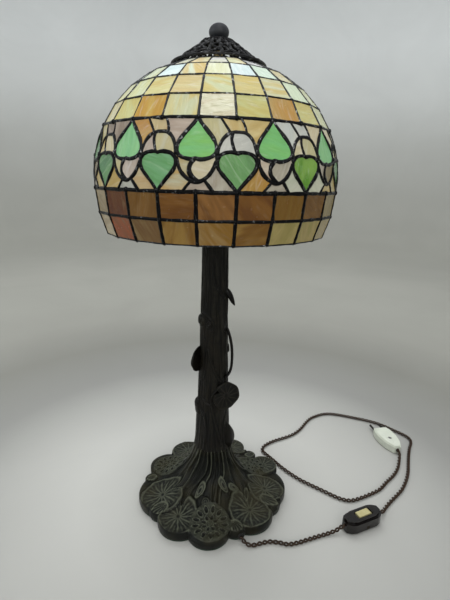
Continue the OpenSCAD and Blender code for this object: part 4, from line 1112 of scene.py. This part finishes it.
trunk_line([(-10, 372), (-4, 352), (8, 338), (28, 328), (50, 320)], 1.5, 1.5, 0.42)
trunk_line([(-62, 300), (-30, 296), (-8, 288), (0, 280), (-6, 274), (-14, 280), (-10, 290)], 1.4, 1.4, 0.40)
trunk_line([(-24, 248), (-12, 232), (4, 216), (22, 202), (38, 192), (48, 182)], 1.3, 1.5, 0.55)
trunk_line([(-40, 262), (-30, 238), (-34, 214), (-40, 200)], 1.2, 1.1, 0.3)
trunk_line([(30, 190), (8, 182), (-6, 172), (-4, 160), (6, 152)], 1.6, 1.6, 0.45)
trunk_line([(-46, 172), (-20, 162), (-4, 160), (0, 150), (10, 132), (20, 112), (30, 96)], 1.4, 1.5, 0.5)
trunk_line([(-60, 196), (-66, 170), (-48, 152), (-30, 142), (-22, 122), (-24, 100)], 1.8, 1.7, 0.35)
trunk_line([(60, 150), (44, 132), (40, 110), (46, 92)], 1.6, 1.5, 0.3)
trunk_line([(70, 384), (60, 350), (72, 320), (66, 292), (48, 272)], 1.4, 1.3, 0.3)
trunk_line([(120, 400), (140, 350), (128, 290), (150, 230), (170, 180), (160, 120)], 1.6, 1.5, 0.35)
trunk_line([(-110, 380), (-130, 330), (-112, 270), (-136, 210), (-150, 150), (-140, 100)], 1.6, 1.5, 0.35)
trunk_line([(178, 410), (200, 340), (214, 260), (196, 200)], 1.4, 1.3, 0.3)
knob(-70, 286, 7.5, 9.5, 3.6, 1.5)
knob(-72, 151, 9.0, 12.0, 3.8, 0)
knob(-22, 282, 4.2, 5.2, 1.8, 1.2)
knob(150, 300, 7, 9, 3.0, 1.5)
knob(-150, 240, 7, 9, 3.0, 1.5)
knob(100, 240, 6, 8, 2.6, 1.2)
fade = sstep(82, 86, ZG) * (1 - 0.8 * sstep(427, 430, ZG))
RT = R0 + np.clip(disp, -1.6, 4.0) * (0.35 + 0.65 * fade)
V = [np.stack([RT * cosA, RT * sinA, ZG], -1).reshape(-1, 3)]
rid = [ridge_t.ravel()]
rings = NZ
for rr_, zz_ in ((16.6, 431.0), (13.2, 431.0), (13.2, 82.5), (25.4, 82.0)):
    V.append(np.stack([rr_ * np.cos(az), rr_ * np.sin(az), np.full(NA, zz_)], -1))
    rid.append(np.full(NA, 0.1))
    rings += 1
ii, kk = np.meshgrid(np.arange(rings), np.arange(NA), indexing="ij")
i2, k2 = (ii + 1) % rings, (kk + 1) % NA
Ft = np.stack([ii * NA + kk, ii * NA + k2, i2 * NA + k2, i2 * NA + kk], -1).reshape(-1, 4)
g = Geo()
g.add(np.concatenate(V), [tuple(f) for f in Ft.tolist()], ridge=np.concatenate(rid))
g.obj("tree_trunk", "root", M_BARK, ["trunk_casting"], "patina_metal")

# ------------------------------------------------------------------ leaves, buds and the free loop of vine
g = Geo()


def leaf_disc(geo, centre, normal, upv_, radius, veins=11, cup=3.0, thick=2.4, notch=None, squash=1.0, seed=0):
    """A round cupped leaf with raised veins and a rolled rim."""
    nrm = unit(np.array(normal, float))
    upv_ = np.array(upv_, float)
    upv_ = unit(upv_ - nrm * (upv_ @ nrm))
    sd = np.cross(upv_, nrm)
    NT, NQ = 96, 22
    t = np.arange(NT) * 2 * math.pi / NT
    qv = np.linspace(0.02, 1, NQ)
    Rr = radius * (1 + 0.03 * np.sin(3 * t + seed) + 0.02 * np.sin(7 * t + seed * 2))
    if notch is not None:
        dt = (t - notch * D2R + math.pi) % (2 * math.pi) - math.pi
        Rr = Rr * (1 - 0.35 * np.exp(-(dt / 0.16) ** 2))
    Q, TT = np.meshgrid(qv, t, indexing="ij")
    rho = Q * Rr[None, :]
    kx = TT / (2 * math.pi) * veins + 0.12 * np.sin(rho * 0.3)
    dv = np.abs(kx - np.round(kx)) * 2 * math.pi / veins * rho
    vein = np.exp(-(dv / 0.8) ** 2) * sstep(0.05, 0.2, Q) * (1 - sstep(0.8, 0.97, Q))
    rim = np.exp(-((Q - 0.95) * radius / 1.1) ** 2)
    zf = cup * Q ** 2 + 0.7 * vein + 0.7 * rim + 0.25 * np.sin(5 * TT + seed) * Q
    zb = cup * Q ** 2 - thick * (1 - 0.35 * Q ** 4)
    top = np.array(centre) + sd * (rho * np.cos(TT) * squash)[..., None] + upv_ * (rho * np.sin(TT))[..., None] + nrm * zf[..., None]
    bot = np.array(centre) + sd * (rho * np.cos(TT) * squash)[..., None] + upv_ * (rho * np.sin(TT))[..., None] + nrm * zb[..., None]
    Vv = np.concatenate([top.reshape(-1, 3), bot[::-1].reshape(-1, 3)])
    rings_ = NQ * 2
    Fc_ = []
    for i in range(rings_ - 1):
        for k in range(NT):
            k2_ = (k + 1) % NT
            Fc_.append((i * NT + k, (i + 1) * NT + k, (i + 1) * NT + k2_, i * NT + k2_))
    Fc_.append(tuple(range(NT)))
    Fc_.append(tuple((rings_ - 1) * NT + k for k in range(NT - 1, -1, -1)))
    rg_ = np.concatenate([(0.22 + 0.4 * vein + 0.35 * rim).ravel(), np.full(NQ * NT, 0.12)])
    geo.add(Vv, Fc_, ridge=rg_)


def leaf_blade(geo, pts, width, normal, thick=3.0, seed=0):
    """A pointed leaf swept along its midrib; width is the half width at each point."""
    C_ = smooth_path(np.c_[np.array(pts, float), np.array(width, float)], 1.2)
    P, w = C_[:, :3], C_[:, 3]
    N_ = unit(np.array(normal, float))
    T_ = tangents(P)
    S_ = unit(np.cross(T_, N_))
    N2 = np.cross(S_, T_)
    a = np.arange(20) * 2 * math.pi / 20
    ca_, sa_ = np.cos(a), np.sin(a)
    hh = thick * np.minimum(1, w / max(w) * 1.4 + 0.1)
    V_ = P[:, None] + S_[:, None] * (w[:, None] * ca_)[..., None] + N2[:, None] * (hh[:, None] * 0.5 * np.sign(sa_) * np.abs(sa_) ** 0.8 - 0.35 * hh[:, None] * np.abs(ca_) ** 1.5)[..., None]
    F_ = []
    n_ = len(P)
    for i in range(n_ - 1):
        for k in range(20):
            k2_ = (k + 1) % 20
            F_.append((i * 20 + k, (i + 1) * 20 + k, (i + 1) * 20 + k2_, i * 20 + k2_))
    F_.append(tuple(range(20)))
    F_.append(tuple((n_ - 1) * 20 + k for k in range(19, -1, -1)))
    geo.add(V_.reshape(-1, 3), F_, ridge=np.tile(0.15 + 0.2 * np.abs(ca_) ** 6, n_))


# free loop of vine at the right
loop = smooth_path(np.array([[15.5, -7, 280], [19, -8, 273], [22.5, -9, 263], [25.4, -9, 248], [26.4, -9, 232], [25.6, -9.5, 217], [22.5, -11, 207], [17, -13, 201]]), 1.5)
N_ = np.array([0, 1.0, 0])
V, F_ = tube(loop, N_, 2.0 * (1 + 0.10 * vnoise(loop * 0.4)), 2.0 * (1 + 0.10 * vnoise(loop * 0.5 + 9)), 12)
g.add(V, F_, ridge=0.15)
rz = lambda d_: (math.sin(d_ * D2R), -math.cos(d_ * D2R), 0)
leaf_disc(g, (-21.0, -6.0, 227), (-0.88, 0.47, 0.0), (0, 0, 1), 18.4, 11, 1.2, 2.6, seed=1)
leaf_disc(g, (18.6, -17.6, 175.4), (math.sin(26 * D2R), -math.cos(26 * D2R), 0.05), (0, 0, 1), 20.6, 12, 2.2, 2.8, notch=150, seed=2)
leaf_blade(g, [(25.6, -9.5, 84), (27.2, -10.5, 94), (26.6, -11.5, 106), (23.6, -12.5, 119), (18.6, -13.5, 132)], [6.0, 10.5, 9.5, 5.2, 0.6], (0.70, -0.71, 0), 4.5, 3)
leaf_blade(g, [(14.5, -7.0, 333), (18.8, -8.5, 328), (22.8, -8.5, 321), (26.2, -7.5, 313), (28.2, -6.6, 308)], [3.0, 4.4, 4.2, 2.6, 0.6], (0.5, -0.8, 0.35), 4.0, 4)
for c_, r_ in (((-16.6, -5, 287), 6.0), ((-19.6, -6, 156), 7.6)):
    t_ = np.linspace(0, math.pi, 12)
    Pp, Fp = lathe([(r_ * math.sin(x_), -r_ * math.cos(x_) * 1.45) for x_ in t_[:-1]] + [(0, r_ * 1.45)], 24)
    Pp = Pp * (1 + 0.06 * vnoise(Pp * 0.35)[:, None]) + np.array(c_)
    g.add(Pp, Fp, ridge=0.2)
g.obj("vine_and_leaves", "root", M_BARK, ["lily_vine"], "patina_metal")

# ------------------------------------------------------------------ vented cap: open twig work
g = Geo()
CR = np.array([8, 14, 18, 22, 28, 33, 38, 43, 48, 54, 57.0])
CZ = np.array([629.4, 629.2, 628.6, 625.6, 620.8, 617.2, 613.4, 610.2, 606.8, 604.0, 602.6])


def cap_pt(r_, a_, off=0.0):
    z_ = np.interp(r_, CR, CZ)
    a_ = np.asarray(a_, float) * D2R
    r_ = np.asarray(r_, float)
    return np.stack([(r_ + off * 0.5) * np.sin(a_), -(r_ + off * 0.5) * np.cos(a_), z_ + off], -1)


def twig(pts, w0, w1, seed, h=0.9):
    """A knotty twig over the cap through (radius, degrees, lift) points."""
    L = smooth_path(np.array(pts, float) * [1, 0.6, 1], 1.4) / [1, 0.6, 1]
    P = cap_pt(L[:, 0], L[:, 1], L[:, 2])
    s = np.linspace(0, 1, len(P))
    w = (w0 + (w1 - w0) * s) * (1 + 0.22 * vnoise(P * 0.42 + seed) + 0.12 * vnoise(P * 1.1 - seed))
    N_ = unit(np.stack([P[:, 0] * 0.6, P[:, 1] * 0.6, np.hypot(P[:, 0], P[:, 1])], -1))
    P = P + N_ * (0.5 * vnoise(P * 0.25 + seed * 3))[:, None]
    V, F_ = tube(P, N_, w, w * h, 9)
    g.add(V, F_, ridge=np.clip(0.25 + 0.6 * vnoise(V * 0.5 + seed), 0, 1))


crng = np.random.default_rng(21)
NRIB = 19
ribs = []
for i in range(NRIB):
    a0 = i * 360 / NRIB + crng.uniform(-3, 3)
    pts = []
    sway = crng.uniform(-9, 9)
    for r_ in (15, 20, 26, 32, 38, 44, 50, 55.4):
        pts.append((r_, a0 + sway * math.sin((r_ - 15) / 16 + i) * (0.3 + (60 - r_) / 90) + crng.uniform(-2.0, 2.0), crng.uniform(-0.6, 0.7)))
    ribs.append(pts)
    twig(pts, 1.75, 2.15, i * 3.1)
for i in range(NRIB):
    A_, B_ = ribs[i], ribs[(i + 1) % NRIB]
    for j, (ja, jb) in enumerate(((1, 2), (3, 2), (3, 5), (6, 4), (6, 7))):
        if crng.uniform() < 0.14:
            continue
        pa, pb = A_[ja], B_[jb]
        d_ = (pb[1] - pa[1] + 180) % 360 - 180
        mid = ((pa[0] + pb[0]) / 2 + crng.uniform(-2, 2), pa[1] + d_ / 2 + crng.uniform(-2, 2), crng.uniform(-0.8, 0.6))
        twig([pa, mid, (pb[0], pa[1] + d_, pb[2])], 1.5, 1.4, i * 5 + j * 1.7)
    if crng.uniform() < 0.8:
        pa = A_[int(crng.integers(2, 6))]
        twig([pa, (pa[0] + crng.uniform(2, 4.5), pa[1] + crng.uniform(-9, 9), 0.6)], 1.6, 1.0, i * 7 + 0.3)
for R_, n_, w_ in ((55.4, 150, 1.6), (17.0, 60, 2.2)):
    a = np.arange(n_) * 360 / n_
    rr_ = R_ + 0.6 * vnoise(np.c_[np.cos(a * D2R) * 6, np.sin(a * D2R) * 6, np.full(n_, R_)])
    P = cap_pt(rr_, a, 0.2 if R_ < 30 else 0.4)
    V, F_ = tube(P, unit(np.stack([P[:, 0], P[:, 1], 60 + 0 * P[:, 2]], -1)), w_ * (1 + 0.25 * vnoise(P * 0.3)), w_ * 0.8, 9, True)
    g.add(V, F_, ridge=np.clip(0.2 + 0.6 * vnoise(V * 0.5), 0, 1))
V, F_ = lathe([(5.4, 627.6), (15.5, 627.6), (18.5, 628.4), (18.5, 630.2), (15.0, 631.3), (9.0, 631.8), (5.4, 631.8)], 64)
g.add(V, F_, ridge=0.25)
g.obj("twig_cap", "shade", M_CAP, ["vented_cap"], "black_metal")

# ------------------------------------------------------------------ finial
ft = np.linspace(-1.02, math.pi / 2, 30)
prof_f = [(5.2, 630.4), (6.6, 630.4), (6.9, 631.0), (6.7, 631.6)] + [(11.9 * math.cos(t_), 639.6 + 9.5 * math.sin(t_)) for t_ in ft if 11.9 * math.cos(t_) > 6.6 or t_ > 0]
prof_f = [(max(r_, 0.0) if r_ > 1e-3 else 0.0, z_) for r_, z_ in prof_f]
V, F_ = lathe([(0, 630.4)] + prof_f[1:-1] + [(0, 649.1)], 72)
g = Geo()
g.add(V, F_)
g.obj("ball_finial", "finial", M_FINIAL, ["finial"], "black_metal")

# ------------------------------------------------------------------ hard parts that keep their CAD form, with worn edges
import bmesh


def rounded(nodename, width, mat_, body, seg=3, angle=28):
    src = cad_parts[nodename]
    bm = bmesh.new()
    bm.from_mesh(src.data)
    bm.transform(src.matrix_world)
    bmesh.ops.remove_doubles(bm, verts=bm.verts, dist=1e-6)
    bmesh.ops.dissolve_limit(bm, angle_limit=1.2 * D2R, verts=bm.verts, edges=bm.edges)
    sharp = [e for e in bm.edges if len(e.link_faces) == 2 and e.calc_face_angle(0) > angle * D2R]
    if width:
        bmesh.ops.bevel(bm, geom=sharp, offset=width * MM, offset_type="OFFSET", segments=seg, profile=0.5, affect="EDGES", clamp_overlap=True)
    me = bpy.data.meshes.new(nodename + "_worn")
    bm.to_mesh(me)
    bm.free()
    me.polygons.foreach_set("use_smooth", np.ones(len(me.polygons), bool))
    me.materials.append(mat_)
    o = bpy.data.objects.new(nodename + "_worn", me)
    scene.collection.objects.link(o)
    wn = o.modifiers.new("wn", "WEIGHTED_NORMAL")
    wn.keep_sharp = False
    wn.weight = 80
    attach(o, body)
    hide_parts(nodename)
    return o


HARD = [rounded("switch_front_shell", 0.7, M_BLACKG, "root"), rounded("switch_back_shell", 0.7, M_BLACKG, "root"),
        rounded("plug_base", 0.8, M_WHITE, "root"), rounded("plug_cover", 1.1, M_WHITE, "root"), rounded("plug_pins", 0.7, M_PIN, "root"),
        rounded("plug_screw", 0.3, M_STEEL, "root")]
ROCK = rounded("switch_rocker", 0.45, M_CREAM, "rocker")

# ------------------------------------------------------------------ cord
R1 = [[41.8, -101.6, 6.5], [43.5, -105.5, 6.3], [47, -109.5, 5.2], [52, -112, 4], [59, -111.5, 3.3], [67, -109, 3.1], [79, -106, 3.1], [92, -107, 3.1], [104, -110, 3.1], [117, -108, 3.1], [132, -103, 3.1],
      [149, -97, 3.1], [163, -93, 3.6], [176, -90, 6.5], [188.34, -85.82, 10.5]]
R2 = [[245.66, -62.18, 10.5], [254, -57, 7], [263, -46, 3.6], [275, -34, 3.1], [291, -20, 3.1], [306, -6, 3.1], [321, 13, 3.1], [334, 34, 3.1], [345, 57, 3.1], [356, 80, 3.1], [367, 101, 3.1], [376, 115, 3.1],
      [380, 126, 3.1], [378, 137, 3.1], [370, 148, 3.1], [358, 161, 3.1], [345, 175, 3.1], [330, 186, 3.1], [312, 195, 3.1], [292, 203, 3.1], [270, 211, 3.1], [250, 216, 3.1], [235, 215, 3.1], [218, 208, 3.1],
      [202, 197, 3.1], [189, 181, 3.1], [177, 163, 3.1], [164, 148, 3.1], [150, 137, 3.1], [133, 128, 3.1], [115, 119, 3.1], [101, 109, 3.1], [93, 99, 3.1], [92, 89, 3.1], [98, 79, 3.1], [108, 64, 3.1],
      [118, 48, 3.1], [131, 31, 3.1], [146, 15, 3.1], [162, 2, 3.1], [178, -10, 3.1], [192, -21, 3.1], [204, -28, 3.1], [216, -30, 3.1], [230, -26, 3.1], [250, -17, 3.1], [270, -6, 3.1], [288, 11, 3.1],
      [306, 27, 3.1], [321, 45, 3.4], [332, 65, 5], [338, 79, 7], [339, 89, 7.5]]
cl = smooth_path(np.array(R1 + R2), 1.0)
seg = np.linalg.norm(np.diff(cl, axis=0), axis=1)
s = np.concatenate([[0], np.cumsum(seg)])
T_ = tangents(cl)
S_ = unit(np.cross(T_, np.array([0, 0, 1.0])))
U_ = np.cross(S_, T_)
g = Geo()
pitch, hr, sr = 15.0, 1.72, 1.24
tight = 1 + 0.10 * vnoise(np.c_[s * 0.03, s * 0, s * 0])
phs = np.concatenate([[0], np.cumsum(seg * 2 * math.pi / pitch * tight[1:])])
for k in (0, 1):
    a = phs + k * math.pi
    P = cl + S_ * (hr * np.cos(a))[:, None] + U_ * (hr * np.sin(a))[:, None]
    TT = tangents(P)
    side = unit(np.cross(TT, U_))
    nrm = np.cross(side, TT)
    NS = 12
    ang = np.arange(NS) * 2 * math.pi / NS
    rr_ = sr * (1 + 0.03 * vnoise(P * 0.8 + k * 9))
    V = P[:, None] + side[:, None] * (rr_[:, None] * np.cos(ang))[..., None] + nrm[:, None] * (rr_[:, None] * np.sin(ang))[..., None]
    n_ = len(P)
    F_ = []
    for i in range(n_ - 1):
        for m in range(NS):
            m2 = (m + 1) % NS
            F_.append((i * NS + m, (i + 1) * NS + m, (i + 1) * NS + m2, i * NS + m2))
    F_.append(tuple(range(NS)))
    F_.append(tuple((n_ - 1) * NS + m for m in range(NS - 1, -1, -1)))
    g.add(V.reshape(-1, 3), F_, along=np.repeat(s, NS), turn=np.tile(np.arange(NS) / NS * 2 * math.pi, n_))
cord = g.obj("twisted_cord", "root", M_CORD, ["cord_base_to_switch", "cord_switch_to_plug"], "cord_fabric")

# ------------------------------------------------------------------ CAD nodes that stay: materials
KEEP = {"base_felt": M_FELT, "bottom_plate": M_STEEL, "base_washer": M_STEEL, "base_nut": M_BRASS, "trunk_collar": M_BRASS, "lamp_pipe": M_BRASS, "inner_wire": M_CORD,
        "cord_bushing": M_BLACKP, "cluster_body": M_BRASS, "cluster_arms": M_BRASS, "socket_shells": M_PHENOL, "socket_insulators": M_PORCELAIN, "socket_liners": M_BRASS,
        # shade_lock_nut and shade_washer take near-black brass as painted shade inside the cap
        "socket_contacts": M_BRASS, "shade_lock_nut": M_BLACKENED_BRASS_AND_SHADE, "shade_washer": M_BLACKENED_BRASS_AND_SHADE, "bulb_left_glass": M_BULB, "bulb_left_cap": M_ALU, "bulb_right_glass": M_BULB,
        "bulb_right_cap": M_ALU, "rocker_pin": M_STEEL, "switch_contacts": M_BRASS, "switch_screw": M_BLACKENED_BRASS_AND_SHADE, "plug_screw": M_STEEL, "plug_grommet": M_BLACKP,
        "base_casting": M_PATINA, "trunk_casting": M_BARK, "lily_vine": M_BARK, "vented_cap": M_CAP, "finial": M_FINIAL, "cord_base_to_switch": M_CORD, "cord_switch_to_plug": M_CORD,
        "switch_front_shell": M_BLACKG, "switch_back_shell": M_BLACKG, "switch_rocker": M_CREAM, "plug_base": M_WHITE, "plug_cover": M_WHITE, "plug_pins": M_PIN}
for n_, m_ in KEEP.items():
    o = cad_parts[n_]
    if o.hide_render:
        continue
    if not o.data.materials:
        o.data.materials.append(m_)
    for i in range(len(o.material_slots)):
        o.material_slots[i].material = m_

# ------------------------------------------------------------------ stage and light
V, Fc = lathe([(0, -0.1), (700, -0.1), (1500, -0.1), (2300, -0.1), (2600, 40), (2850, 160), (3000, 400), (3060, 800), (3080, 1600), (3080, 3600)], 96)
me = bpy.data.meshes.new("backdrop")
me.from_pydata((V * MM).tolist(), [], Fc)
me.polygons.foreach_set("use_smooth", np.ones(len(me.polygons), bool))
stage = bpy.data.objects.new("backdrop", me)
scene.collection.objects.link(stage)
M_FLOOR, nt, b = material("stage_paper", (0.50, 0.495, 0.475), 0.9)
sx = node(nt, "ShaderNodeSeparateXYZ")
geo_n = nt.nodes.new("ShaderNodeNewGeometry")
nt.links.new(geo_n.outputs["Position"], sx.inputs[0])
ln = node(nt, "ShaderNodeVectorMath", operation="LENGTH")
nt.links.new(geo_n.outputs["Position"], ln.inputs[0])
dist = math_node(nt, "MULTIPLY", ln.outputs["Value"], 0.25)
# painted shade on the stage: bright near the lamp, a dark painted ring about 0.4 to 0.65 m out behind it, then mid grey
# further away
stage_painted_light = ramp(nt, dist, [(0, (0.58, 0.577, 0.545)), (0.05, (0.57, 0.567, 0.536)), (0.08, (0.44, 0.438, 0.414)), (0.11, (0.29, 0.289, 0.273)), (0.16, (0.247, 0.245, 0.221)), (0.22, (0.33, 0.326, 0.294)), (0.29, (0.36, 0.357, 0.322)), (0.4, (0.381, 0.377, 0.34)), (0.6, (0.391, 0.388, 0.35))])
# painted light: the wall made lighter with height, as if lit from above
wall_painted_light = ramp(nt, math_node(nt, "MULTIPLY", sx.outputs[2], 0.5), [(0.02, 0.0), (0.16, 0.10), (0.35, 0.34), (0.54, 0.75), (0.72, 1.0)])
stage_painted_light = mix(nt, wall_painted_light, stage_painted_light, (0.87, 0.89, 0.89))
# broad mottling multiplied in: painted shading of the cloth's folds
cloth_fold_shade = noise(nt, geo_n.outputs["Position"], 2.2, 4.0, 0.55, 0.8)
nt.links.new(mix(nt, 0.5, stage_painted_light, ramp(nt, cloth_fold_shade, [(0.3, 0.86), (0.7, 1.0)]), "MULTIPLY"), b.inputs["Base Color"])
me.materials.append(M_FLOOR)
stage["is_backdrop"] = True

world = bpy.data.worlds.new("world")
scene.world = world
world.use_nodes = True
world.node_tree.nodes["Background"].inputs[0].default_value = (0.93, 0.96, 1.0, 1)
world.node_tree.nodes["Background"].inputs[1].default_value = 0.54


def area(name, loc, target, size, power, col=(1, 1, 1), size_y=None):
    d = bpy.data.lights.new(name, "AREA")
    d.energy, d.color = power, col
    d.shape, d.size, d.size_y = "RECTANGLE", size, size_y or size
    o = bpy.data.objects.new(name, d)
    scene.collection.objects.link(o)
    o.location = loc
    o.rotation_mode = "QUATERNION"
    o.rotation_quaternion = (Vector(target) - Vector(loc)).to_track_quat("-Z", "Y")
    return o


key = area("key_ceiling", (0.05, -0.72, 2.2), (0, -0.1, 0.5), 0.42, 4.5, (1.0, 0.99, 0.96))
back = area("soft_back", (-0.2, 0.9, 2.6), (0, 0, 0.3), 1.8, 38, (0.97, 0.99, 1.0))
back.visible_glossy = False
front = area("soft_front", (0.3, -2.0, 1.3), (0, 0, 0.45), 1.6, 13, (1.0, 0.99, 0.96))
wash = area("wall_wash", (0, 0.3, 2.4), (0, 1.7, 1.7), 1.2, 6.5, (0.98, 1.0, 1.0))
wash.visible_glossy = False
left = area("soft_left", (-1.9, -0.6, 1.2), (0, 0, 0.4), 1.2, 7, (0.95, 0.98, 1.0))
scene.view_settings.view_transform = "Standard"
scene.view_settings.look = "None"

lo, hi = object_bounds()
